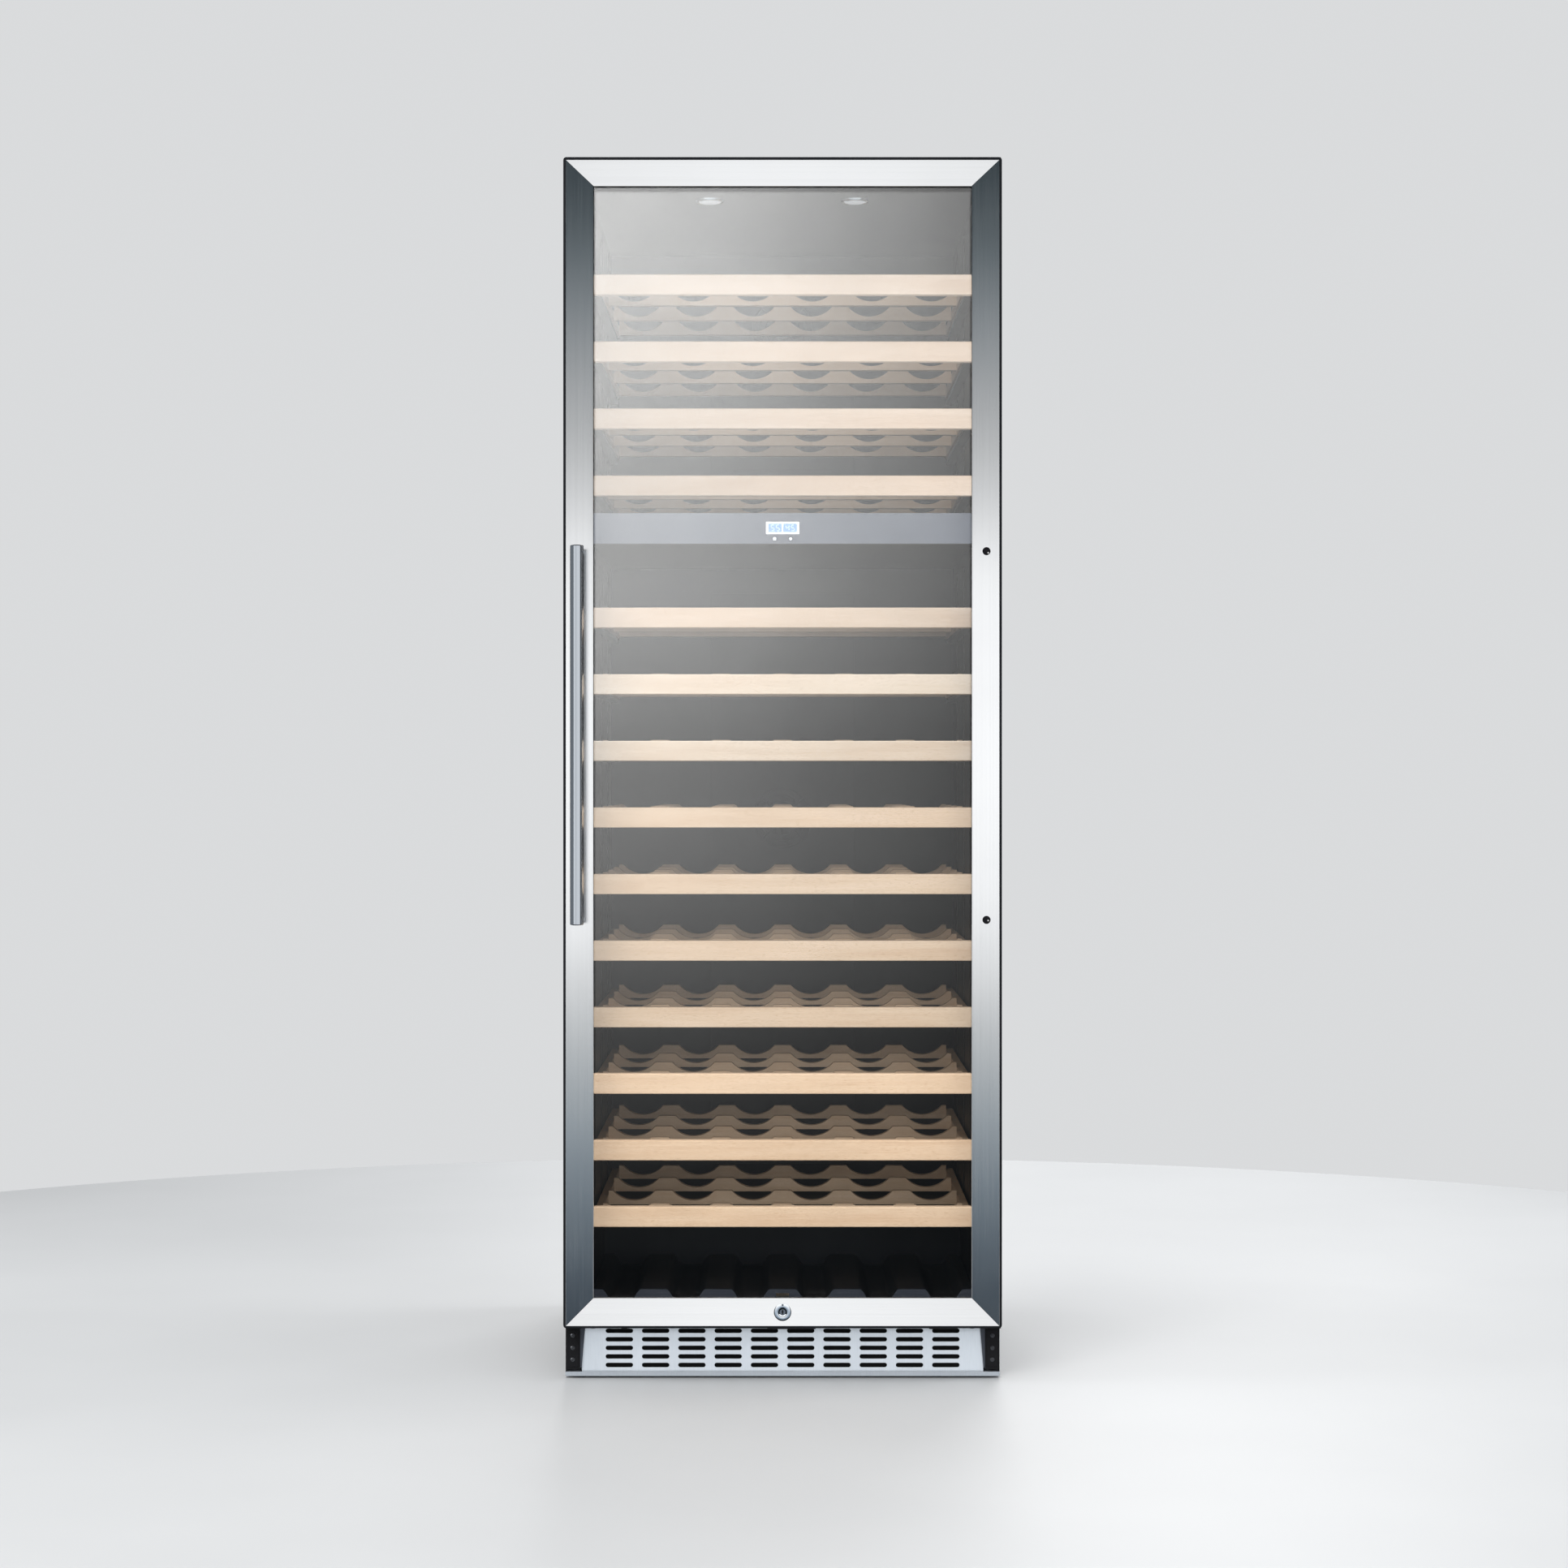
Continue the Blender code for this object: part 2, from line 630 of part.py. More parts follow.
def fan_mesh(radius, hub_radius, length):
    """A hub along Z with pitched blades, as the hub and a mesh of all its blades."""
    hub = rod((0, 0, -length / 2), (0, 0, length / 2), hub_radius)
    blades = []
    for index in range(FAN_BLADES):
        chord = radius * BLADE_HALF_CHORD
        low = (hub_radius - 0.002, -chord, -BLADE_HALF_THICKNESS)
        blade = box(low, (radius, chord, BLADE_HALF_THICKNESS))
        pitch = Matrix.Rotation(math.radians(BLADE_PITCH), 4, "X")
        turn = Matrix.Rotation(2 * math.pi * index / FAN_BLADES, 4, "Z")
        blades.append(moved(blade, turn @ pitch))
    return hub, joined(blades)


def build_fan(name, centre, axis, radius, hub_radius, length):
    turn = UP.rotation_difference(Vector(axis)).to_matrix().to_4x4()
    place = Matrix.Translation(centre) @ turn
    hub, blades = fan_mesh(radius, hub_radius, length)
    part(name, BLACK_PLASTIC, moved(hub, place), add=[moved(blades, place)], origin=centre)


def build_duct(name, limits, fan_z, fan_name):
    """A shallow cover on the back wall with a fan behind a spoked opening."""
    back = LINER_BACK - GAP
    shell = DUCT_SHELL
    cover = wide_box(DUCT_SIDE, (DUCT_FRONT, back), limits)
    inside = DUCT_FRONT + shell
    hollow = wide_box(DUCT_SIDE - shell, (inside, back + 0.01), (limits[0] + shell, limits[1] - shell))
    eye = rod((0, DUCT_FRONT - 0.01, fan_z), (0, inside + 0.001, fan_z), FAN_RADIUS + 0.004, 24)
    span = FAN_RADIUS + 0.007
    spokes = [
        wide_box(span, (DUCT_FRONT, inside), (fan_z - SPOKE_HALF_WIDTH, fan_z + SPOKE_HALF_WIDTH)),
        wide_box(SPOKE_HALF_WIDTH, (DUCT_FRONT, inside), (fan_z - span, fan_z + span)),
        rod((0, DUCT_FRONT - 0.001, fan_z), (0, inside + 0.005, fan_z), 0.014, 16),
    ]
    item = part(name, LINER_BLACK, cover, cut=[hollow, eye])
    for spoke in spokes:
        boolean(item, spoke, "UNION")
    build_fan(fan_name, (0, FAN_Y, fan_z), (0, 1, 0), FAN_RADIUS, 0.012, 0.013)


def build_compressor():
    """A welded pot compressor, turned about Z and standing on a mounting plate."""
    profile = (
        (0.000, 0.154),
        (0.030, 0.151),
        (0.054, 0.140),
        (0.064, 0.120),
        (0.066, 0.092),
        (0.068, 0.088),
        (0.068, 0.080),
        (0.066, 0.076),
        (0.062, 0.040),
        (0.046, 0.022),
        (0.000, 0.016),
    )
    shape = bmesh.new()
    points = [shape.verts.new((x, 0, z)) for x, z in profile]
    for pair in zip(points, points[1:]):
        shape.edges.new(pair)
    mesh = bpy.data.meshes.new("compressor")
    shape.to_mesh(mesh)
    shape.free()
    pot = place_object("compressor", mesh, BLACK_PAINT, PARTS, origin=(0, 0, 0))
    pot.location = (COMPRESSOR_X, COMPRESSOR_Y, 0)
    turn = pot.modifiers.new("turn", "SCREW")
    turn.steps = 20
    turn.render_steps = 20
    turn.use_merge_vertices = True
    turn.merge_threshold = 0.00005
    turn.use_smooth_shade = True
    half_width, half_depth, top = COMPRESSOR_PLATE
    low = (COMPRESSOR_X - half_width, COMPRESSOR_Y - half_depth, BASE_TOP + GAP)
    high = (COMPRESSOR_X + half_width, COMPRESSOR_Y + half_depth, BASE_TOP + top)
    boolean(pot, box(low, high), "UNION")


def build_condenser():
    """A finned block with a fan shroud on the side that faces the compressor."""
    low = (*CONDENSER_LOW, BASE_TOP + GAP)
    high = CONDENSER_HIGH
    pitch = (high[0] - low[0] - 0.004) / CONDENSER_FINS
    slots = []
    for index in range(CONDENSER_FINS):
        x = low[0] + 0.002 + pitch * (index + (1 - FIN_GAP_SHARE) / 2)
        foot = (x, low[1] - 0.01, low[2] + FIN_ROOT)
        slots.append(box(foot, (x + pitch * FIN_GAP_SHARE, high[1] + 0.01, high[2] + 0.01)))
    shroud = box((SHROUD_X[0], low[1], low[2]), (SHROUD_X[1], high[1], high[2]))
    y = (low[1] + high[1]) / 2
    z = CONDENSER_FAN_Z
    eye = rod((SHROUD_X[0] - 0.0015, y, z), (SHROUD_X[1] + 0.0015, y, z), CONDENSER_FAN_RADIUS + 0.004, 24)
    spoke = box((SHROUD_X[0], low[1] + 0.01, z - 0.004), (SHROUD_X[1], high[1] - 0.01, z + 0.004))
    motor = rod((SHROUD_X[0], y, z), (CONDENSER_FAN_X - 0.013, y, z), 0.016)
    item = part("condenser", SILVER, box(low, high), cut=[joined(slots)])
    boolean(item, shroud, "UNION")
    boolean(item, eye, "DIFFERENCE")
    boolean(item, spoke, "UNION")
    boolean(item, motor, "UNION")
    build_fan("condenser_fan", (CONDENSER_FAN_X, y, z), (1, 0, 0), CONDENSER_FAN_RADIUS, 0.014, 0.022)


def build_keeper():
    """A folded hook on the liner's floor. Its front tab stands in the door's recess, in front of the cam."""
    tab = (KEEPER_TAB_Y, KEEPER_TAB_Y + KEEPER_SHEET)
    leg = (KEEPER_LEG_Y, KEEPER_LEG_Y + KEEPER_SHEET)
    low = LINER_FLOOR + GAP
    bridge = wide_box(KEEPER_SIDE, (tab[0], leg[1]), (KEEPER_TOP - KEEPER_SHEET, KEEPER_TOP))
    extras = [
        wide_box(KEEPER_SIDE, tab, (KEEPER_TAB_LOW, KEEPER_TOP)),
        wide_box(KEEPER_SIDE, leg, (low, KEEPER_TOP)),
        wide_box(KEEPER_SIDE, (leg[0], leg[1] + KEEPER_FOOT), (low, low + KEEPER_SHEET)),
    ]
    part("lock_keeper", SILVER, bridge, add=extras)


def build_door(door):
    frame_front = DOOR_FRONT + BORDER_SET_BACK
    seat = DOOR_FRONT + TRIM_THICKNESS + GAP
    glass_front = DOOR_FRONT + GLASS_SET_BACK
    outline = rounded_rectangle(SIDE, DOOR_LOW, DOOR_HIGH, DOOR_CORNER)
    frame = plate(outline, (frame_front, DOOR_BACK))
    out = 0.01
    window = wide_box(WINDOW_SIDE, (frame_front - out, DOOR_BACK + out), (WINDOW_LOW, WINDOW_HIGH))
    clear = 0.0005
    pocket = wide_box(
        GLASS_SIDE + clear, (glass_front - GAP, DOOR_BACK + out), (GLASS_LOW - clear, GLASS_HIGH + clear)
    )
    rebate = wide_box(TRIM_SIDE + GAP, (frame_front - out, seat), (TRIM_LOW - GAP, TRIM_HIGH + GAP))
    lock_hole = rod((0, frame_front - out, LOCK_Z), (0, DOOR_BACK + out, LOCK_Z), BARREL_RADIUS + 0.0005, 20)
    recess = wide_box(0.012, (DOOR_BACK - 0.0045, DOOR_BACK + out), (LOCK_Z + 0.004, GLASS_LOW + 0.005))
    pins = [
        rod((HINGE_X, HINGE_Y, DOOR_LOW - out), (HINGE_X, HINGE_Y, DOOR_LOW + 0.0125), PIN_RADIUS + 0.0004),
        rod((HINGE_X, HINGE_Y, DOOR_HIGH - 0.0125), (HINGE_X, HINGE_Y, DOOR_HIGH + out), PIN_RADIUS + 0.0004),
    ]
    stubs = []
    for x in (-STUB_X, STUB_X):
        low = (x, STUB_Y, DOOR_LOW - STUB_REACH)
        stubs.append(rod(low, (x, STUB_Y, DOOR_LOW + STUB_REACH), STUB_RADIUS, 12))
    part(
        "door_frame",
        BLACK_PAINT,
        frame,
        add=[joined(stubs)],
        cut=[window, pocket, rebate, lock_hole, recess, joined(pins)],
        parent=door,
    )
    build_trims(door)
    build_glass(door, glass_front)
    outer = wide_box(GASKET_SIDE, (DOOR_BACK + GAP, CABINET_FRONT - GAP), (GASKET_LOW, GASKET_HIGH))
    inner = wide_box(
        GASKET_SIDE - GASKET_WIDTH,
        (DOOR_BACK - out, CABINET_FRONT + out),
        (GASKET_LOW + GASKET_WIDTH, GASKET_HIGH - GASKET_WIDTH),
    )
    part("door_gasket", RUBBER, outer, cut=[inner], parent=door)


def build_trims(door):
    """Four mitred facings around the glass. The right one has the two spare handle holes."""
    depth = (DOOR_FRONT, DOOR_FRONT + TRIM_THICKNESS)
    near = DOOR_FRONT - 0.01
    far = DOOR_FRONT + 0.02
    lock_hole = rod((0, near, LOCK_Z), (0, far, LOCK_Z), BARREL_RADIUS + 0.0005, 20)
    spare = [
        rod((-HANDLE_X, near, z), (-HANDLE_X, far, z), PLUG_HOLE_RADIUS, 12)
        for z in (HANDLE_Z - POST_SPACING / 2, HANDLE_Z + POST_SPACING / 2)
    ]
    for name, outer, inner, holes in (
        ("door_trim_bottom", TRIM_LOW, WINDOW_LOW, [lock_hole]),
        ("door_trim_top", TRIM_HIGH, WINDOW_HIGH, []),
    ):
        long_side = TRIM_SIDE - MITRE_GAP
        short_side = WINDOW_SIDE - MITRE_GAP
        outline = [(-long_side, outer), (long_side, outer), (short_side, inner), (-short_side, inner)]
        part(name, STEEL, plate(outline, depth), cut=holes, parent=door)
    for name, sign, holes in (("door_trim_left", -1, []), ("door_trim_right", 1, [joined(spare)])):
        outline = [
            (sign * TRIM_SIDE, TRIM_LOW),
            (sign * TRIM_SIDE, TRIM_HIGH),
            (sign * WINDOW_SIDE, WINDOW_HIGH),
            (sign * WINDOW_SIDE, WINDOW_LOW),
        ]
        part(name, STEEL, plate(outline, depth), cut=holes, parent=door)


def build_glass(door, front):
    height = (GLASS_LOW, GLASS_HIGH)
    back = front + UNIT_THICKNESS
    part("outer_glass", GLASS, wide_box(GLASS_SIDE, (front, front + GLASS_THICKNESS), height), parent=door)
    part("inner_glass", GLASS, wide_box(GLASS_SIDE, (back - GLASS_THICKNESS, back), height), parent=door)
    between = (front + GLASS_THICKNESS + GAP, back - GLASS_THICKNESS - GAP)
    hole = wide_box(
        GLASS_SIDE - SPACER_WIDTH, (front, back), (GLASS_LOW + SPACER_WIDTH, GLASS_HIGH - SPACER_WIDTH)
    )
    part("glass_spacer", BLACK_PLASTIC, wide_box(GLASS_SIDE, between, height), cut=[hole], parent=door)


def build_handle(door):
    y = -DEPTH / 2 + HANDLE_RADIUS
    half = HANDLE_LENGTH / 2
    bar = rod((HANDLE_X, y, HANDLE_Z - half), (HANDLE_X, y, HANDLE_Z + half), HANDLE_RADIUS, 20)
    heights = (HANDLE_Z - POST_SPACING / 2, HANDLE_Z + POST_SPACING / 2)
    posts = [rod((HANDLE_X, y, z), (HANDLE_X, DOOR_FRONT - GAP, z), POST_RADIUS, 12) for z in heights]
    smooth(part("door_handle", STEEL, bar, add=[joined(posts)], parent=door))
    for name, z in zip(("hole_plug_lower", "hole_plug_upper"), heights):
        x = -HANDLE_X
        head = rod((x, DOOR_FRONT - 0.0012, z), (x, DOOR_FRONT - GAP, z), PLUG_RADIUS, 12)
        stem = rod((x, DOOR_FRONT - 0.0006, z), (x, DOOR_FRONT + 0.0022, z), PLUG_HOLE_RADIUS - 0.0005, 12)
        part(name, BLACK_PLASTIC, head, add=[stem], parent=door)


def build_lock(door):
    """The housing stays in the door. The core turns in it and carries the cam behind the door."""
    barrel_back = DOOR_BACK - 0.005
    bezel = rod((0, DOOR_FRONT - 0.0022, LOCK_Z), (0, DOOR_FRONT - GAP, LOCK_Z), BEZEL_RADIUS, 24)
    barrel = rod((0, DOOR_FRONT - 0.001, LOCK_Z), (0, barrel_back, LOCK_Z), BARREL_RADIUS, 20)
    pip_z = LOCK_Z + PIP_OFFSET
    pip = rod((0, DOOR_FRONT - 0.003, pip_z), (0, DOOR_FRONT - 0.001, pip_z), PIP_RADIUS, 8)
    bore = rod((0, DOOR_FRONT - 0.01, LOCK_Z), (0, DOOR_BACK, LOCK_Z), PLUG_CORE_RADIUS + 0.0004, 20)
    part("lock_housing", CHROME, bezel, add=[barrel, pip], cut=[bore], parent=door)
    axis = axis_empty("lock_axis", (0, DOOR_FRONT, LOCK_Z), door)
    core = rod((0, DOOR_FRONT - 0.0018, LOCK_Z), (0, barrel_back, LOCK_Z), PLUG_CORE_RADIUS, 20)
    tail = rod((0, barrel_back - 0.001, LOCK_Z), (0, CAM_Y[1], LOCK_Z), LOCK_TAIL_RADIUS, 12)
    low = (-CAM_LENGTH, CAM_Y[0], LOCK_Z - CAM_HALF_WIDTH)
    high = (LOCK_TAIL_RADIUS, CAM_Y[1], LOCK_Z + CAM_HALF_WIDTH)
    key_slot = wide_box(
        KEYHOLE_HALF_WIDTH,
        (DOOR_FRONT - 0.01, DOOR_FRONT + 0.004),
        (LOCK_Z - KEYHOLE_HALF_HEIGHT, LOCK_Z + KEYHOLE_HALF_HEIGHT),
    )
    item = place_object("lock_cylinder", core, CHROME, PARTS, origin=(0, DOOR_FRONT, LOCK_Z))
    item.parent = axis
    item.location = (0, 0, 0)
    boolean(item, tail, "UNION")
    boolean(item, box(low, high), "UNION")
    boolean(item, key_slot, "DIFFERENCE")


def slat_outline():
    """A cross slat seen from the front: a straight bottom and a round scallop for each bottle."""
    half_angle = math.acos(1 - SCALLOP_DEPTH / SCALLOP_RADIUS)
    centre_z = SLAT_HIGH - SCALLOP_DEPTH + SCALLOP_RADIUS
    half = SHELF_SIDE - 0.0055
    outline = [(-half, SLAT_LOW), (-half, SLAT_HIGH)]
    for column in range(BOTTLES_ACROSS):
        middle = (column - (BOTTLES_ACROSS - 1) / 2) * BOTTLE_PITCH
        for step in range(4):
            angle = half_angle * (step / 1.5 - 1)
            z = centre_z - SCALLOP_RADIUS * math.cos(angle)
            outline.append((middle + SCALLOP_RADIUS * math.sin(angle), z))
    return outline + [(half, SLAT_HIGH), (half, SLAT_LOW)]


def shelf_mesh():
    """One glued shelf about the middle of its front board: board, two side rails and scalloped slats."""
    board_back = SHELF_FRONT + FASCIA_THICKNESS
    rise = FASCIA_HEIGHT / 2
    board = wide_box(SHELF_SIDE, (SHELF_FRONT, board_back), (-rise, rise))
    rail_out = SHELF_SIDE - 0.0005
    rails = []
    for sign in (-1, 1):
        limits = sorted((sign * rail_out, sign * (rail_out - RAIL_WIDTH)))
        rails.append(box((limits[0], board_back - 0.006, RAIL_LOW), (limits[1], SHELF_BACK, RAIL_HIGH)))
    outline = slat_outline()
    half = SLAT_THICKNESS / 2
    slats = [plate(outline, (y - half, y + half)) for y in SLAT_Y]
    blank = place_object("shelf_blank", board, WOOD, CUTTERS, origin=(0, 0, 0))
    blank.hide_render = True
    blank.display_type = "WIRE"
    boolean(blank, joined(rails), "UNION")
    boolean(blank, joined(slats), "UNION")
    graph = bpy.context.evaluated_depsgraph_get()
    return bpy.data.meshes.new_from_object(blank.evaluated_get(graph))


def build_shelves():
    """Every shelf is its own object and shares the mesh of the one glued shelf."""
    mesh = shelf_mesh()
    mesh.name = "shelf"
    for number, height in enumerate(shelf_heights(), start=1):
        shelf = bpy.data.objects.new(f"shelf_{number:02d}", mesh)
        shelf.location = (0, 0, height)
        PARTS.objects.link(shelf)


clear_scene()
PARTS = new_collection("wine_cooler")
CUTTERS = new_collection("cutters")
BLACK_PAINT = finish("black_paint", (0.012, 0.012, 0.013), 0.45)
BLACK_PLASTIC = finish("black_plastic", (0.02, 0.02, 0.02), 0.5)
LINER_BLACK = finish("liner_black", (0.02, 0.021, 0.024), 0.4)
SILVER = finish("silver_sheet", (0.62, 0.64, 0.66), 0.4, 0.8)
STEEL = finish("brushed_steel", (0.72, 0.73, 0.74), 0.28, 1.0)
CHROME = finish("chrome", (0.80, 0.82, 0.84), 0.1, 1.0)
RUBBER = finish("rubber", (0.015, 0.015, 0.015), 0.7)
FOAM = finish("foam", (0.70, 0.64, 0.42), 0.9)
GLASS = finish("glass", (0.75, 0.80, 0.80), 0.03, 0.0, 0.3)
PANEL_GREY = finish("panel_grey", (0.16, 0.17, 0.18), 0.35)
LENS = finish("display_lens", (0.45, 0.62, 0.75), 0.15)
LAMP = finish("lamp", (0.85, 0.87, 0.90), 0.4)
WOOD = finish("beech", (0.78, 0.56, 0.34), 0.55)

build_case()
build_base()
build_kick_grille()
build_brackets()
build_insulation()
build_liner()
build_cradle()
build_divider_and_panel()
build_lamps()
build_duct("upper_air_duct", UPPER_DUCT, UPPER_FAN_Z, "upper_fan")
build_duct("lower_air_duct", LOWER_DUCT, LOWER_FAN_Z, "lower_fan")
build_compressor()
build_condenser()
build_keeper()
DOOR = axis_empty("door_hinge_axis", (HINGE_X, HINGE_Y, DOOR_LOW))
build_door(DOOR)
build_handle(DOOR)
build_lock(DOOR)
build_shelves()
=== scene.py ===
"""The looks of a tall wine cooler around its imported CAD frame. Metres, +Z up, door towards -Y."""

import math

import bmesh
import bpy
from mathutils import Matrix, Vector


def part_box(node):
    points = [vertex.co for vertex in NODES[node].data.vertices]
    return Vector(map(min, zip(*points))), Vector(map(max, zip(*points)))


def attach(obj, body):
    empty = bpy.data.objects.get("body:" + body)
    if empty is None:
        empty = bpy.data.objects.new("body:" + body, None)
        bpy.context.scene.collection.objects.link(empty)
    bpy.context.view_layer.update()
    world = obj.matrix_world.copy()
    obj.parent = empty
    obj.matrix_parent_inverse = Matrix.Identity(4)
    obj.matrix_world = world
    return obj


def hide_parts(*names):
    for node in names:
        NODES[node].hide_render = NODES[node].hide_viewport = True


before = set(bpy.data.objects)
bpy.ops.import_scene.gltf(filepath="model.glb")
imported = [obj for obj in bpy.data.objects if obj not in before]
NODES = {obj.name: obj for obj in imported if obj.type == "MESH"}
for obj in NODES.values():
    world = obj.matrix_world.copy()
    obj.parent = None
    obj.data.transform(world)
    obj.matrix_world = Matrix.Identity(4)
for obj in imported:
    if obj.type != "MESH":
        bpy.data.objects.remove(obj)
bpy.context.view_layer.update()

ACROSS = Vector((1, 0, 0))
INWARD = Vector((0, 1, 0))
UP = Vector((0, 0, 1))
STAND_UP = Matrix.Rotation(math.pi / 2, 4, "X")  # turns a flat outline to face the front


# ---------------------------------------------------------------- measures that several pieces share
def middle(name):
    """The middle of a node's box."""
    low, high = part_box(name)
    return (low + high) / 2


def half_width(name):
    low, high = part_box(name)
    return (high.x - low.x) / 2


DOOR_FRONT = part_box("door_trim_left")[0].y
DOOR_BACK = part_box("door_frame")[1].y
CABINET_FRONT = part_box("left_side_panel")[0].y
CABINET_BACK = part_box("rear_panel")[1].y
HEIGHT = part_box("top_panel")[1].z
LOCK_HEIGHT = middle("lock_housing").z
LINER_WALL = 0.2647  # half the width between the liner's side walls
HINGE_PIN = Vector((0.2835, -0.2835, 0.0))
SHELF_NAMES = [name for name in sorted(NODES) if name.startswith("shelf_")]
SLAT_PLACES = (-0.199, -0.055, 0.095, 0.247)
BOTTLES_ACROSS = 6
BOTTLE_PITCH = 0.085
FANS = {  # centre, axis, blade radius, hub radius and length
    "upper_fan": ((0.0, 0.2905, 1.51), INWARD, 0.043, 0.012, 0.013),
    "lower_fan": ((0.0, 0.2905, 0.76), INWARD, 0.043, 0.012, 0.013),
    "condenser_fan": ((-0.07, 0.245, 0.08), ACROSS, 0.052, 0.014, 0.022),
}


# ---------------------------------------------------------------- shapes
def mm(*points):
    """Points that are written in millimetres."""
    return [tuple(value / 1000 for value in point) for point in points]


def circle(radius, sides, x=0.0, z=0.0):
    """The points of a full circle."""
    angles = [2 * math.pi * step / sides for step in range(sides)]
    return [(x + radius * math.cos(a), z + radius * math.sin(a)) for a in angles]


def rounded_loop(x, z, radius, steps=3):
    """A rectangle with round corners between two x and two z limits."""
    loop = []
    right, top = x[1] - radius, z[1] - radius
    left, bottom = x[0] + radius, z[0] + radius
    for corner, (cx, cz) in enumerate(((right, top), (left, top), (left, bottom), (right, bottom))):
        for step in range(steps + 1):
            angle = math.pi / 2 * (corner + step / steps)
            loop.append((cx + radius * math.cos(angle), cz + radius * math.sin(angle)))
    return loop


def node_loop(name, radius, steps=3, grow=0.0):
    """A node's outline from the front with round corners, grown all round by a clearance."""
    low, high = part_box(name)
    return rounded_loop((low.x - grow, high.x + grow), (low.z - grow, high.z + grow), radius, steps)


def new_object(name, data):
    """An object in the scene."""
    item = bpy.data.objects.new(name, data)
    bpy.context.scene.collection.objects.link(item)
    return item


def new_mesh(name, shape):
    """A mesh from a shape, which is used up."""
    mesh = bpy.data.meshes.new(name)
    shape.to_mesh(mesh)
    shape.free()
    return mesh


def finished_mesh(item):
    """What an object looks like with its modifiers."""
    return bpy.data.meshes.new_from_object(item.evaluated_get(bpy.context.evaluated_depsgraph_get()))


def smooth_shade(mesh, degrees=35):
    """Smooth, but for edges sharper than an angle."""
    mesh.shade_smooth()
    mesh.set_sharp_from_angle(angle=math.radians(degrees))


def box_shape(low, high):
    low = Vector(low)
    high = Vector(high)
    shape = bmesh.new()
    place = Matrix.Translation((low + high) / 2) @ Matrix.Diagonal((*(high - low), 1.0))
    bmesh.ops.create_cube(shape, size=1.0, matrix=place)
    return shape


def lathe_shape(profile, origin, axis=-INWARD, sides=32):
    """A turned shape. Profile points are (distance along the axis, radius)."""
    turn = UP.rotation_difference(Vector(axis)).to_matrix().to_4x4()
    shape = bmesh.new()
    rings = []
    for along, radius in profile:
        spots = circle(radius, sides) if radius else [(0, 0)]
        rings.append([shape.verts.new((a, b, along)) for a, b in spots])
    for near, far in zip(rings, rings[1:]):
        for step in range(sides):
            after = (step + 1) % sides
            corners = [near[step % len(near)], near[after % len(near)]]
            corners += [far[after % len(far)], far[step % len(far)]]
            shape.faces.new(list(dict.fromkeys(corners)))
    bmesh.ops.transform(shape, matrix=Matrix.Translation(origin) @ turn, verts=shape.verts)
    bmesh.ops.recalc_face_normals(shape, faces=shape.faces)
    return shape


def rod_shape(start, end, radius, edge=0.0, sides=32):
    """A round bar with rounded rims."""
    start = Vector(start)
    span = Vector(end) - start
    turns = [math.pi / 2 * step / 3 for step in range(4)] if edge else [math.pi / 2]
    rim = [(edge - edge * math.cos(a), radius - edge + edge * math.sin(a)) for a in turns]
    far_rim = [(span.length - along, wide) for along, wide in reversed(rim)]
    return lathe_shape([(0, 0)] + rim + far_rim + [(span.length, 0)], start, span, sides)


def plate_shape(loops, y, edge=0.0, steps=1):
    """A sheet that faces the front, from closed (x, z) loops. Loops inside the first one are holes."""
    curve = bpy.data.curves.new("outline", "CURVE")
    curve.dimensions = "2D"
    curve.fill_mode = "BOTH"
    curve.extrude = (y[1] - y[0]) / 2 - edge
    curve.bevel_depth = edge
    curve.bevel_resolution = steps
    curve.offset = -edge
    for loop in loops:
        spline = curve.splines.new("POLY")
        spline.points.add(len(loop) - 1)
        for point, (x, z) in zip(spline.points, loop):
            point.co = (x, z, 0, 1)
        spline.use_cyclic_u = True
    holder = new_object("outline", curve)
    shape = bmesh.new()
    shape.from_mesh(finished_mesh(holder))
    bpy.data.objects.remove(holder)
    bmesh.ops.remove_doubles(shape, verts=shape.verts, dist=1e-6)
    bmesh.ops.transform(shape, matrix=Matrix.Translation((0, sum(y) / 2, 0)) @ STAND_UP, verts=shape.verts)
    bmesh.ops.recalc_face_normals(shape, faces=shape.faces)
    return shape


def strip_shape(sections, closed=False):
    """A bar through cross-sections with equal numbers of points: a closed frame, or capped at both ends."""
    shape = bmesh.new()
    rings = [[shape.verts.new(point) for point in section] for section in sections]
    count = len(rings[0])
    following = rings[1:] + rings[:1] if closed else rings[1:]
    for near, far in zip(rings, following):
        for step in range(count):
            after = (step + 1) % count
            shape.faces.new((near[step], near[after], far[after], far[step]))
    if not closed:
        shape.faces.new(rings[0])
        shape.faces.new(list(reversed(rings[-1])))
    bmesh.ops.recalc_face_normals(shape, faces=shape.faces)
    return shape


def frame_corners(low, high, width):
    """The four mitres of an upright frame, as (outer, inner) pairs of (x, z) from the upper right."""
    corners = []
    for x, z, right, top in ((high.x, high.z, 1, 1), (low.x, high.z, -1, 1), (low.x, low.z, -1, -1),
                             (high.x, low.z, 1, -1)):
        corners.append((Vector((x, z)), Vector((x - width * right, z - width * top))))
    return corners


def frame_shape(name, width, section):
    """A closed frame in a node's box. Section points are shares of the frame's width and depth."""
    low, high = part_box(name)
    rings = []
    for outer, inner in frame_corners(low, high, width):
        spots = [(outer.lerp(inner, share), low.y + (high.y - low.y) * depth) for share, depth in section]
        rings.append([(spot.x, y, spot.y) for spot, y in spots])
    return strip_shape(rings, closed=True)


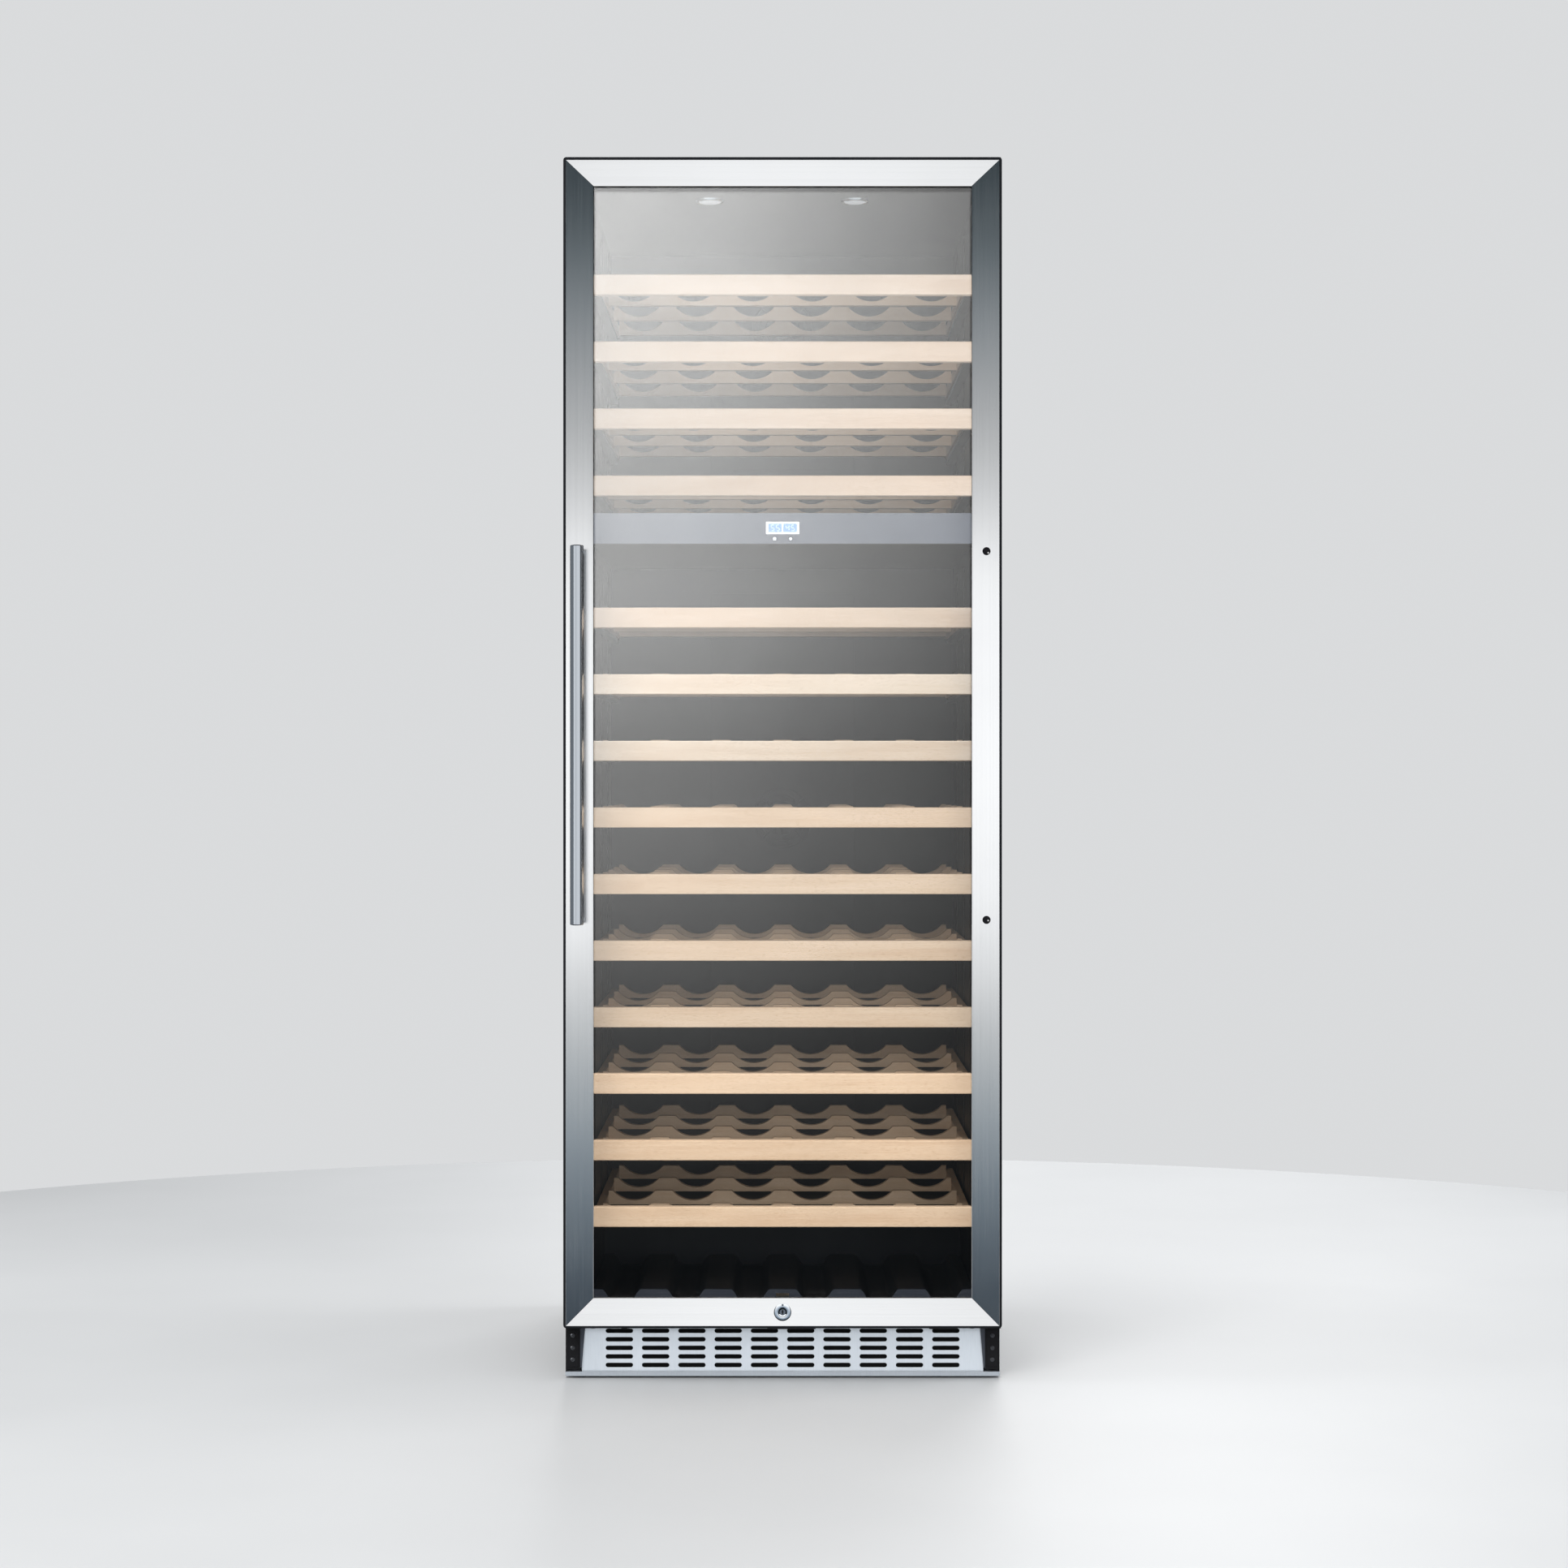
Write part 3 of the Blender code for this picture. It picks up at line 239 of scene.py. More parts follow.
def tube_shape(points, radius, sides=12):
    """A round tube along points, with closed ends."""
    points = [Vector(point) for point in points]
    sections = []
    side = None
    for index, point in enumerate(points):
        ahead = points[min(index + 1, len(points) - 1)] - points[max(index - 1, 0)]
        ahead.normalize()
        side = ahead.orthogonal() if side is None else side - ahead * side.dot(ahead)
        side.normalize()
        up = ahead.cross(side)
        sections.append([point + side * a + up * b for a, b in circle(radius, sides)])
    return strip_shape(sections)


def half_round(centre, out, across, tall, wide):
    """One section of a bead that bulges out of a surface."""
    angles = [math.pi * turn / 6 for turn in range(7)]
    return [Vector(centre) + out * tall * math.sin(a) + across * wide * math.cos(a) for a in angles]


def screw_shape(place, axis, radius):
    """A pan head screw, turned, with a sunk middle."""
    outline = ((0, 0), (0, 1), (0.6, 1), (1.3, 0.82), (1.7, 0.45), (1.7, 0.3), (0.9, 0.12), (0.9, 0))
    return lathe_shape([(rise / 1000, radius * share) for rise, share in outline], place, axis, 16)


class Shape:
    """Collects shapes for one piece. Index is the shape's material slot."""

    def __init__(self):
        self.mesh = bmesh.new()

    def add(self, shape, edge=0.0, steps=2, index=0, place=None):
        if edge:
            limit = math.radians(30)
            sharp = [e for e in shape.edges if len(e.link_faces) == 2 and e.calc_face_angle() > limit]
            bmesh.ops.bevel(shape, geom=sharp, offset=edge, segments=steps, profile=0.5, affect="EDGES",
                            clamp_overlap=True)
        if place:
            bmesh.ops.transform(shape, matrix=place, verts=shape.verts)
        for face in shape.faces:
            face.material_index = index
        scratch = new_mesh("scratch", shape)
        self.mesh.from_mesh(scratch)
        bpy.data.meshes.remove(scratch)
        return self

    def box(self, low, high, edge=0.0, steps=2, index=0):
        return self.add(box_shape(low, high), edge, steps, index)

    def rod(self, start, end, radius, edge=0.0, sides=32, index=0):
        return self.add(rod_shape(start, end, radius, edge, sides), index=index)

    def turned(self, profile, origin, axis=-INWARD, sides=32, index=0):
        return self.add(lathe_shape(profile, origin, axis, sides), index=index)

    def plate(self, loops, y, edge=0.0, steps=1, index=0):
        return self.add(plate_shape(loops, y, edge, steps), index=index)

    def screw(self, place, axis, radius, index=0):
        return self.add(screw_shape(place, axis, radius), index=index)

    def piece(self, name, slot, materials, replaces=(), body="cabinet", smooth=35):
        """Ends the piece: an object that rides on a body and takes its finish from the materials. The slot is
        not used.
        """
        mesh = new_mesh(name, self.mesh)
        for material in materials if isinstance(materials, list) else [materials]:
            mesh.materials.append(material)
        smooth_shade(mesh, smooth)
        item = new_object(name, mesh)
        item.modifiers.new("flat_faces", "WEIGHTED_NORMAL").keep_sharp = True
        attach(item, body)
        if replaces:
            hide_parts(*replaces)
        return item


def carve(item, shape):
    """Cuts a shape out of a piece for good."""
    cutter = new_object("cutter", new_mesh("cutter", shape))
    cut = item.modifiers.new("cut", "BOOLEAN")
    cut.operation = "DIFFERENCE"
    cut.solver = "EXACT"
    cut.object = cutter
    result = finished_mesh(item)
    item.modifiers.remove(cut)
    item.data = result
    bpy.data.objects.remove(cutter)
    smooth_shade(result)


# ---------------------------------------------------------------- nodes for materials and lights
def first_node(tree, kind):
    """A node that a new tree already has."""
    return next(node for node in tree.nodes if node.type == kind)


def add_node(tree, kind, inputs=(), **settings):
    """Adds a shader node with its settings, and sets or links its inputs."""
    node = tree.nodes.new("ShaderNode" + kind)
    for name, value in settings.items():
        setattr(node, name, value)
    for key, value in dict(inputs).items():
        socket = node.inputs[key]
        if isinstance(value, bpy.types.NodeSocket):
            tree.links.new(value, socket)
        elif socket.type == "RGBA":
            socket.default_value = (*value, 1.0)
        else:
            socket.default_value = value
    return node


def ramp_node(tree, source, stops, interpolation="LINEAR"):
    """Stops are (place, colour or grey)."""
    node = add_node(tree, "ValToRGB", {"Fac": source})
    node.color_ramp.interpolation = interpolation
    steps = node.color_ramp.elements
    while len(steps) < len(stops):
        steps.new(0.5)
    for step, (place, colour) in zip(steps, stops):
        step.position = place
        step.color = (*colour, 1.0) if isinstance(colour, tuple) else (colour, colour, colour, 1.0)
    return node.outputs["Color"]


def mix_node(tree, share, a, b, blend="MIX"):
    """Inputs 6 and 7 are the two that a mix of colours uses."""
    return add_node(tree, "Mix", {0: share, 6: a, 7: b}, data_type="RGBA", blend_type=blend).outputs[2]


class Paint:
    """A Principled material whose colour, roughness and bump come from nodes in object space."""

    def __init__(self, name, **values):
        self.material = bpy.data.materials.new(name)
        self.material.use_nodes = True
        self.tree = self.material.node_tree
        self.shader = self.tree.nodes["Principled BSDF"]
        for key, value in values.items():
            self.shader.inputs[key.replace("_", " ")].default_value = value
        self.here = self.node("TexCoord").outputs["Object"]

    def node(self, kind, inputs=(), **settings):
        return add_node(self.tree, kind, inputs, **settings)

    def noise(self, scale, detail=3.0, stretch=None, roughness=0.55, distortion=0.0):
        place = self.here
        if stretch:
            place = self.node("Mapping", {"Vector": place, "Scale": stretch}).outputs["Vector"]
        values = {"Vector": place, "Scale": scale, "Detail": detail, "Roughness": roughness}
        return self.node("TexNoise", values | {"Distortion": distortion}).outputs["Fac"]

    def ramp(self, source, *stops):
        return ramp_node(self.tree, source, stops)

    def math(self, operation, *values):
        return self.node("Math", enumerate(values), operation=operation).outputs[0]

    def mix(self, share, a, b):
        return mix_node(self.tree, share, a, b)

    def shade(self, socket, source):
        self.tree.links.new(source, self.shader.inputs[socket])

    def colour(self, source):
        self.shade("Base Color", source)

    def rough(self, source):
        self.shade("Roughness", source)

    def bump(self, height, depth, strength=1.0):
        """Depth is the height in metres between black and white."""
        node = self.node("Bump", {"Strength": strength, "Distance": depth, "Height": height})
        self.shade("Normal", node.outputs["Normal"])

    def tangent(self, axis):
        self.shade("Tangent", self.node("Tangent", direction_type="RADIAL", axis=axis).outputs["Tangent"])


# ---------------------------------------------------------------- materials
def moulded(name, dark, light, roughness, grain, depth):
    """Plastic, paint or rubber: two close colours in soft clouds, a fine grain and uneven gloss."""
    paint = Paint(name)
    clouds = paint.noise(9.0, 4.0)
    fine = paint.noise(grain, 2.0)
    paint.colour(paint.ramp(clouds, (0.3, dark), (0.7, light)))
    paint.rough(paint.math("MULTIPLY_ADD", clouds, 0.1, roughness - 0.05))
    paint.bump(fine, depth)
    return paint.material


def brushed(name, stretch, axis, tone=(0.8, 0.81, 0.82), roughness=0.15, anisotropic=0.5):
    """Brushed stainless steel. The stretch is small along the brushing, and the tangent lies across it."""
    steel = Paint(name, Metallic=1.0, Anisotropic=anisotropic)
    lines = steel.noise(1.0, 4.0, stretch, 0.6)
    broad = steel.noise(1.0, 2.0, tuple(value * 0.12 for value in stretch), 0.5)
    smudge = steel.noise(7.0, 3.0)
    darker = tuple(value * 0.93 for value in tone)
    fine_tone = steel.ramp(lines, (0.35, darker), (0.65, tone))
    steel.colour(steel.mix(0.35, fine_tone, steel.ramp(broad, (0.35, darker), (0.65, tone))))
    base = steel.ramp(lines, (0.3, roughness - 0.03), (0.7, roughness + 0.05))
    steel.rough(steel.mix(0.25, base, steel.ramp(smudge, (0.35, roughness - 0.02), (0.7, roughness + 0.08))))
    steel.bump(lines, 0.0000015)
    steel.tangent(axis)
    return steel.material


def sheet_metal(name, tone, roughness, metallic):
    """Coated silver sheet with a faint rolled grain and soft clouds."""
    sheet = Paint(name, Metallic=metallic)
    clouds = sheet.noise(14.0, 4.0)
    grain = sheet.noise(1.0, 3.0, (900.0, 900.0, 40.0))
    darker = tuple(value * 0.92 for value in tone)
    tint = sheet.ramp(clouds, (0.3, darker), (0.7, tone))
    sheet.colour(sheet.mix(0.12, tint, sheet.ramp(grain, (0.3, 0.45), (0.7, 0.85))))
    sheet.rough(sheet.ramp(grain, (0.25, roughness - 0.05), (0.75, roughness + 0.08)))
    sheet.bump(grain, 0.000006)
    return sheet.material


def beech(name, along):
    """Oiled beech: long fibres along an axis, short dark flecks, and a change between boards."""
    wood = Paint(name, Specular_IOR_Level=0.35)

    def grain(across, length, detail, roughness, distortion=0.0):
        stretch = tuple(length if axis == along else across for axis in range(3))
        return wood.noise(1.0, detail, stretch, roughness, distortion)

    boards = wood.noise(1.0, 1.0, (0.6, 0.6, 9.0))
    figure = grain(60.0, 4.0, 4.0, 0.55, 0.6)
    fibre = grain(900.0, 14.0, 5.0, 0.65)
    flecks = grain(1500.0, 170.0, 1.0, 0.4)
    light = (0.755, 0.562, 0.412)
    tone = wood.ramp(figure, (0.3, (0.63, 0.426, 0.28)), (0.52, (0.705, 0.512, 0.356)), (0.72, light))
    tone = wood.mix(0.22, tone, wood.ramp(boards, (0.35, (0.59, 0.405, 0.275)), (0.65, (0.82, 0.66, 0.5))))
    tone = wood.mix(0.2, tone, wood.ramp(fibre, (0.3, (0.5, 0.33, 0.205)), (0.7, (0.84, 0.67, 0.51))))
    speck = wood.ramp(flecks, (0.6, 0.0), (0.7, 1.0))
    wood.colour(wood.mix(wood.math("MULTIPLY", speck, 0.45), tone, (0.45, 0.28, 0.15)))
    wood.rough(wood.ramp(fibre, (0.3, 0.44), (0.7, 0.6)))
    wood.bump(fibre, 0.00005, 0.6)
    return wood.material


def glazing(name):
    """Clear float glass with a thin tint, which mirrors more towards a grazing view."""
    head_on = 0.043  # what it mirrors when it is seen square on
    paint = Paint(name)
    tilt = paint.node("LayerWeight", {"Blend": 0.5}).outputs["Facing"]  # the same on both sides of a pane
    share = paint.math("MULTIPLY_ADD", paint.math("POWER", tilt, 5.0), 1.0 - head_on, head_on)
    smear = paint.noise(5.0, 4.0, distortion=0.4)
    tint = paint.ramp(smear, (0.4, (0.968, 0.97, 0.968)), (0.7, (0.955, 0.958, 0.956)))
    haze = paint.ramp(smear, (0.35, 0.015), (0.75, 0.05))
    clear = paint.node("BsdfTransparent", {"Color": tint}).outputs["BSDF"]
    mirror = paint.node("BsdfGlossy", {"Color": (1.0, 1.0, 1.0), "Roughness": haze}).outputs["BSDF"]
    both = paint.node("MixShader", {0: share, 1: clear, 2: mirror})
    output = first_node(paint.tree, "OUTPUT_MATERIAL")
    paint.tree.links.new(both.outputs["Shader"], output.inputs["Surface"])
    paint.tree.nodes.remove(paint.shader)
    return paint.material


def glowing(name, tone, strength):
    """A lit plastic face whose light is a little uneven."""
    lit = Paint(name, Roughness=0.35, Emission_Strength=strength)
    cells = lit.noise(400.0, 2.0)
    uneven = lit.ramp(cells, (0.3, tuple(value * 0.8 for value in tone)), (0.7, tone))
    lit.colour(uneven)
    lit.shade("Emission Color", uneven)
    lit.rough(lit.ramp(cells, (0.3, 0.3), (0.7, 0.4)))
    return lit.material


def chrome_plate(name):
    plate = Paint(name, Metallic=1.0)
    haze = plate.noise(60.0, 3.0)
    plate.colour(plate.ramp(haze, (0.3, (0.7, 0.735, 0.77)), (0.7, (0.78, 0.81, 0.84))))
    plate.rough(plate.ramp(haze, (0.3, 0.06), (0.75, 0.14)))
    return plate.material


BLACK_PAINT = moulded("black_powder_coat", (0.01, 0.01, 0.011), (0.016, 0.016, 0.018), 0.4, 1800.0, 0.00005)
BLACK_PLASTIC = moulded("black_plastic", (0.013, 0.013, 0.014), (0.021, 0.021, 0.022), 0.42, 2600.0, 0.00003)
FRAME_BLACK = moulded("door_profile_black", (0.009, 0.01, 0.012), (0.016, 0.017, 0.02), 0.32, 2200.0, 0.00002)
LINER_BLACK = moulded("liner_abs", (0.013, 0.014, 0.017), (0.021, 0.023, 0.027), 0.38, 1500.0, 0.00006)
# The tray's front apron gets a lighter, bluer copy of its black: painted light.
CRADLE_FRONT_LIT = moulded("cradle_front_painted_light", (0.03, 0.034, 0.046), (0.042, 0.047, 0.06), 0.36, 1500.0, 0.00005)
SPACER_GREY = moulded("spacer_grey", (0.05, 0.052, 0.056), (0.068, 0.07, 0.074), 0.45, 1500.0, 0.00004)
# The brackets' slanted gussets get a lighter slate grey than their black paint: painted light.
BRACKET_FLANGE_LIT = moulded("bracket_flange_painted_light", (0.055, 0.062, 0.078), (0.07, 0.078, 0.096), 0.4, 1500.0, 0.00005)
RUBBER = moulded("gasket_rubber", (0.011, 0.011, 0.012), (0.018, 0.018, 0.019), 0.62, 1200.0, 0.00006)
PANEL_GREY = moulded("panel_grey", (0.163, 0.163, 0.172), (0.188, 0.188, 0.198), 0.34, 2200.0, 0.00003)
FOAM = moulded("foam", (0.62, 0.55, 0.33), (0.76, 0.69, 0.46), 0.85, 260.0, 0.0008)
# Near-black that stands for the shade in recesses: painted shade.
PAINTED_SHADE_BLACK = moulded("recess_painted_shade", (0.003, 0.003, 0.003), (0.006, 0.006, 0.006), 0.7, 900.0, 0.00005)
PLUG_BLACK = moulded("plug_black", (0.006, 0.006, 0.007), (0.012, 0.012, 0.013), 0.16, 2600.0, 0.00001)
SILVER = sheet_metal("silver_sheet", (0.62, 0.665, 0.72), 0.42, 0.45)
# The base plate's silver is a darker copy of the silver sheet: painted shade.
SILVER_BASE_SHADED = sheet_metal("silver_base_painted_shade", (0.34, 0.375, 0.415), 0.42, 0.45)
ZINC = sheet_metal("zinc_sheet", (0.52, 0.53, 0.54), 0.42, 0.9)
FINS = sheet_metal("aluminium_fins", (0.66, 0.67, 0.68), 0.45, 0.9)
COPPER = sheet_metal("copper_pipe", (0.72, 0.4, 0.24), 0.32, 1.0)
LOCK_DARK = sheet_metal("lock_face", (0.045, 0.065, 0.095), 0.35, 0.5)
SCREW_DARK = sheet_metal("screw_dark", (0.2, 0.21, 0.235), 0.28, 0.8)
STEEL_X = brushed("steel_brushed_across", (9.0, 700.0, 2600.0), "X")
STEEL_Z = brushed("steel_brushed_upright", (2600.0, 700.0, 9.0), "Z")
STEEL_BAR = brushed("steel_bar", (2600.0, 2600.0, 9.0), "Z", (0.74, 0.765, 0.8), 0.11, 0.3)
CHROME = chrome_plate("chrome")
GLASS = glazing("door_glass")
BEECH_X = beech("beech_across", 0)
BEECH_Y = beech("beech_deep", 1)
LAMP_FACE = glowing("lamp_diffuser", (0.9, 0.93, 0.98), 0.22)
DISPLAY_BLUE = glowing("display_blue", (0.34, 0.54, 0.84), 0.5)
MARK_WHITE = glowing("mark_white", (0.93, 0.94, 0.96), 0.8)
DIGIT_BLUE = glowing("digit_blue", (0.8, 0.9, 1.0), 0.75)


def dress(name, material, edge=0.0):
    """A CAD node that stays gets its finish, and fine rounded edges."""
    item = NODES[name]
    item.data.materials.clear()
    item.data.materials.append(material)
    if edge:
        weld = item.modifiers.new("weld", "WELD")
        weld.merge_threshold = 0.00001
        bevel = item.modifiers.new("edge", "BEVEL")
        bevel.width = edge
        bevel.segments = 2
        bevel.limit_method = "ANGLE"
        bevel.angle_limit = math.radians(40)
        bevel.harden_normals = True


# ---------------------------------------------------------------- case, base and back
def build_case():
    for name in ("left_side_panel", "right_side_panel", "top_panel"):
        dress(name, BLACK_PAINT, 0.0003)
    dress("insulation", FOAM)
    dress("rear_panel", ZINC, 0.0002)
    # The base plate takes the darker silver, which is painted shade.
    dress("base_plate", SILVER_BASE_SHADED, 0.0004)
    back = Shape()
    for z in (0.24, 0.6, 0.96, 1.32):
        for x in (-0.135, 0.135):
            back.add(back_bead(x, z, 0.105))
    screw_radius = 0.0035
    cross_rows = (0.022, 0.185, 1.648)
    side_rows = cross_rows + (0.55, 0.92, 1.29)
    for x, rows in ((-0.283, side_rows), (-0.1, cross_rows), (0.1, cross_rows), (0.283, side_rows)):
        for z in rows:
            back.screw((x, CABINET_BACK, z), INWARD, screw_radius)
    back.piece("rear_beads_and_screws", "silver_sheet", ZINC)
    top = Shape()
    sunk = 0.0022  # the screws' heads stay below the top of the case
    for x in (-0.275, 0.275):
        for y in (-0.235, 0.05, 0.335):
            top.screw((x, y, HEIGHT - sunk), UP, screw_radius)
    top.piece("top_screws", "black_case", BLACK_PAINT)


def back_bead(x, z, half):
    """A long low stiffening bead, pressed into the rear panel, with tapered ends."""
    sections = []
    for step in range(9):
        along = half * (step / 4 - 1)
        taper = min(1.0, (half - abs(along)) / 0.01 + 0.02)
        spot = (x + along, CABINET_BACK - 0.0004, z)
        sections.append(half_round(spot, INWARD, UP, 0.0016 * taper, 0.008 * taper))
    return strip_shape(sections)


def build_feet():
    """Levelling feet: a pad, a threaded stem and a hexagonal nut."""
    stem = 0.004
    root = 0.0034
    for name in ("foot_front_left", "foot_front_right", "foot_rear_left", "foot_rear_right"):
        centre = middle(name)
        centre.z = 0
        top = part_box(name)[1].z
        wide = half_width(name)
        pad = [(0, 0), (0, wide - 0.002), (0.0006, wide - 0.0006), (0.0016, wide), (0.0022, wide - 0.0012)]
        foot = Shape().turned(pad + [(0.0027, 0)], centre, UP)
        thread = [(0.0015, 0), (0.0015, stem)]
        for turn in range(14):
            z = 0.0025 + turn * 0.0019
            thread += [(z, stem), (z + 0.0009, root)]
        foot.turned(thread + [(top - 0.0004, stem), (top, root), (top, 0)], centre, UP, 20, 1)
        nut = circle(0.0085, 6, centre.x, centre.y)
        foot.add(strip_shape([[(x, y, z) for x, y in nut] for z in (0.0063, 0.0108)]), 0.0005, 1, 1)
        foot.piece(name + "_levelling", "black_plastic", [BLACK_PLASTIC, ZINC], [name])


def build_kick_grille():
    """A silver sheet with five rows of ten slots, and just behind it a near-black sheet that is painted shade
    seen through the slots.
    """
    low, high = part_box("kick_grille")
    half_tall = 0.00305
    half_long = 0.0188
    loops = [node_loop("kick_grille", 0.001, 2)]
    for column in range(10):
        for row in range(5):
            x = (column - 4.5) * 0.0498
            z = 0.0147 + row * 0.01175
            slot = ((x - half_long, x + half_long), (z - half_tall, z + half_tall))
            loops.append(rounded_loop(*slot, half_tall - 0.00001, 4))
    sheet = Shape().plate(loops, (low.y, high.y), 0.0003)
    sheet.piece("kick_grille_sheet", "silver_sheet", SILVER, ["kick_grille"])
    start = (low.x + 0.008, high.y + 0.0008, low.z + 0.002)
    # This sheet is near-black painted shade behind the slots.
    end = (high.x - 0.008, high.y + 0.0022, high.z - 0.003)
    Shape().box(start, end).piece("dust_screen", "black_plastic", PAINTED_SHADE_BLACK)


def build_brackets():
    """The lower hinge bracket and its blank twin at the left, then the upper hinge bracket."""
    edge = 0.0004
    sheet = 0.0025
    pin_radius = 0.0035
    nose = HINGE_PIN.y - 0.008
    face = CABINET_FRONT - 0.0028
    bottom = 0.01
    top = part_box("corner_bracket_left")[1].z
    for name, sign in (("corner_bracket_left", -1), ("hinge_bracket_lower", 1)):
        inner = 0.2775 * sign
        outer = 0.297 * sign
        lip = 0.0022 * sign
        bracket = Shape()
        front = rounded_loop(sorted((inner, outer)), (bottom, top), 0.0012)
        bracket.plate([front], (face, face + sheet), edge)
        rib = rounded_loop(sorted((inner + lip, outer - lip)), (bottom + 0.0035, top - 0.0085), 0.0015)
        bracket.plate([rib], (face - 0.0009, face + 0.001), edge)
        # The gusset takes the lighter slate grey, which is painted light on the black pressing.
        gusset = [(0.279, bottom + 0.002), (0.279, top - 0.002), (0.2705, top - 0.002)]
        gusset.append((0.2755, bottom + 0.002))
        bracket.plate([[(x * sign, z) for x, z in gusset]], (face + 0.0015, face + 0.0065), edge, index=2)
        for z in (0.0235, 0.0395, 0.0565):
            bracket.screw((0.2875 * sign, face - 0.0006, z), -INWARD, 0.003, 1)
        if sign > 0:
            pin_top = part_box(name)[1].z
            bracket.box((0.27, nose, top - 0.0023), (outer, face + 0.002, top), 0.0005)
            bracket.rod(HINGE_PIN + UP * (top - 0.001), HINGE_PIN + UP * pin_top, pin_radius, 0.0006, 20, 1)
            for x in (0.2745, 0.2925):
                bracket.screw((x, -0.2665, top), UP, 0.0024, 1)
        bracket.piece(name + "_pressing", "black_case", [BLACK_PAINT, SCREW_DARK, BRACKET_FLANGE_LIT], [name])
    upper = Shape()
    upper.box((0.268, face, 1.6505), (0.2962, face + sheet, HEIGHT), 0.0005)
    upper.box((0.27, nose, HEIGHT - 0.002), (0.297, face + sheet, HEIGHT), 0.0004)
    pin = HINGE_PIN + UP * (HEIGHT - 0.0135)
    upper.rod(pin, pin + UP * 0.0132, pin_radius, 0.0006, 20, 1)
    for x in (0.2735, 0.2905):
        upper.screw((x, face + 0.0004, 1.6568), -INWARD, 0.0026, 1)
    upper.piece("hinge_bracket_upper_pressing", "black_case", [BLACK_PAINT, ZINC], ["hinge_bracket_upper"])


# ---------------------------------------------------------------- inside
def build_liner():
    """The liner and the divider, with slim upright beads on the side walls."""
    dress("inner_liner", LINER_BLACK, 0.0008)
    dress("zone_divider", LINER_BLACK, 0.002)
    end = 0.004
    beads = Shape()
    for sign in (-1, 1):
        for y in (-0.15, 0.02, 0.19):
            for low, high in ((0.205, 1.128), (1.2, 1.612)):
                sections = []
                for z, tall in ((low, 0.0012), (low + end, 0.0022), (high - end, 0.0022), (high, 0.0012)):
                    spot = (sign * LINER_WALL, y, z)
                    sections.append(half_round(spot, -sign * ACROSS, INWARD, tall, 0.004))
                beads.add(strip_shape(sections))
    beads.piece("liner_wall_beads", "liner_black", LINER_BLACK)


def build_cradle():
    """The corrugated bottle tray, with rounded folds, and the apron that closes its ridges at the front."""
    low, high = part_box("bottle_cradle")
    pitch = 0.0893
    valley = 0.0978
    thickness = 0.002
    count = 28 * BOTTLES_ACROSS
    half = pitch * BOTTLES_ACROSS / 2
    profile = [(low.x, high.z)]
    for step in range(count + 1):
        x = -half + 2 * half * step / count
        if abs(x) < high.x - 0.001:
            phase = abs(((x + half) % pitch) - pitch / 2)  # 0 in a valley, half a pitch on a ridge
            rise = min(1.0, max(0.0, (phase - 0.0125) / 0.0145))
            profile.append((x, valley + (high.z - valley) * rise * rise * (3 - 2 * rise)))
    profile.append((high.x, high.z))
    sections = []
    for y, thin in ((low.y, 0.0007), (low.y + 0.0006, 0.0), (high.y - 0.0006, 0.0), (high.y, 0.0007)):
        upper = [(x, y, z - thin) for x, z in profile]
        under = [(x, y, z - thickness + thin) for x, z in reversed(profile)]
        sections.append(upper + under)
    tray = Shape().add(strip_shape(sections))
    tray.piece("bottle_cradle_tray", "liner_black", LINER_BLACK, ["bottle_cradle"], smooth=50)
    outline = [(x, z - 0.001) for x, z in profile] + [(high.x, valley - 0.004), (low.x, valley - 0.004)]
    # The apron takes the lighter slate, which is painted light on the tray's black front.
    apron = Shape().plate([outline], (low.y - 0.0004, low.y + 0.0012), 0.0003)
    apron.piece("bottle_cradle_apron", "liner_black", CRADLE_FRONT_LIT)


def add_digit(shape, number, x, z, y):
    """A seven-segment 4 or 5, slightly proud of the plane y."""
    tall = 0.0078
    proud = 0.00015
    half = tall * 0.26
    bar = tall * 0.055  # half a segment's thickness
    gap = bar * 1.2
    lit = {4: "fgbc", 5: "afgcd"}[number]
    for name, height in (("a", tall / 2), ("g", 0.0), ("d", -tall / 2)):
        if name in lit:
            shape.box((x - half + gap, y - proud, z + height - bar), (x + half - gap, y, z + height + bar))
    for name, at, start in (("b", x + half, z), ("c", x + half, z - tall / 2), ("f", x - half, z)):
        if name in lit:
            shape.box((at - bar, y - proud, start + gap), (at + bar, y, start + tall / 2 - gap))


def build_control_panel():
    """The grey bar, with an opening for the display's window and one for each button."""
    low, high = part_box("control_panel")
    front = low.y
    loops = [node_loop("control_panel", 0.0015), node_loop("display_lens", 0.0012, grow=0.0003)]
    for name in ("light_button", "set_button"):
        centre = middle(name)
        loops.append(circle(half_width(name) + 0.00035, 24, centre.x, centre.z))
    left = low.x + 0.001
    right = high.x - 0.001
    bottom = low.z + 0.0005
    top = high.z - 0.0005
    side_block = 0.2
    panel = Shape()
    panel.plate(loops, (front, front + 0.003), 0.0006, 2)
    panel.box((left, front + 0.0065, bottom), (right, high.y, top), 0.0006)
    for start, end in ((left, low.x + side_block), (high.x - side_block, right)):
        panel.box((start, front + 0.0028, bottom), (end, front + 0.0068, top))
    panel.piece("control_panel_bar", "panel_grey", PANEL_GREY, ["control_panel"])
    build_display(front)
    for name in ("light_button", "set_button"):
        build_button(name)


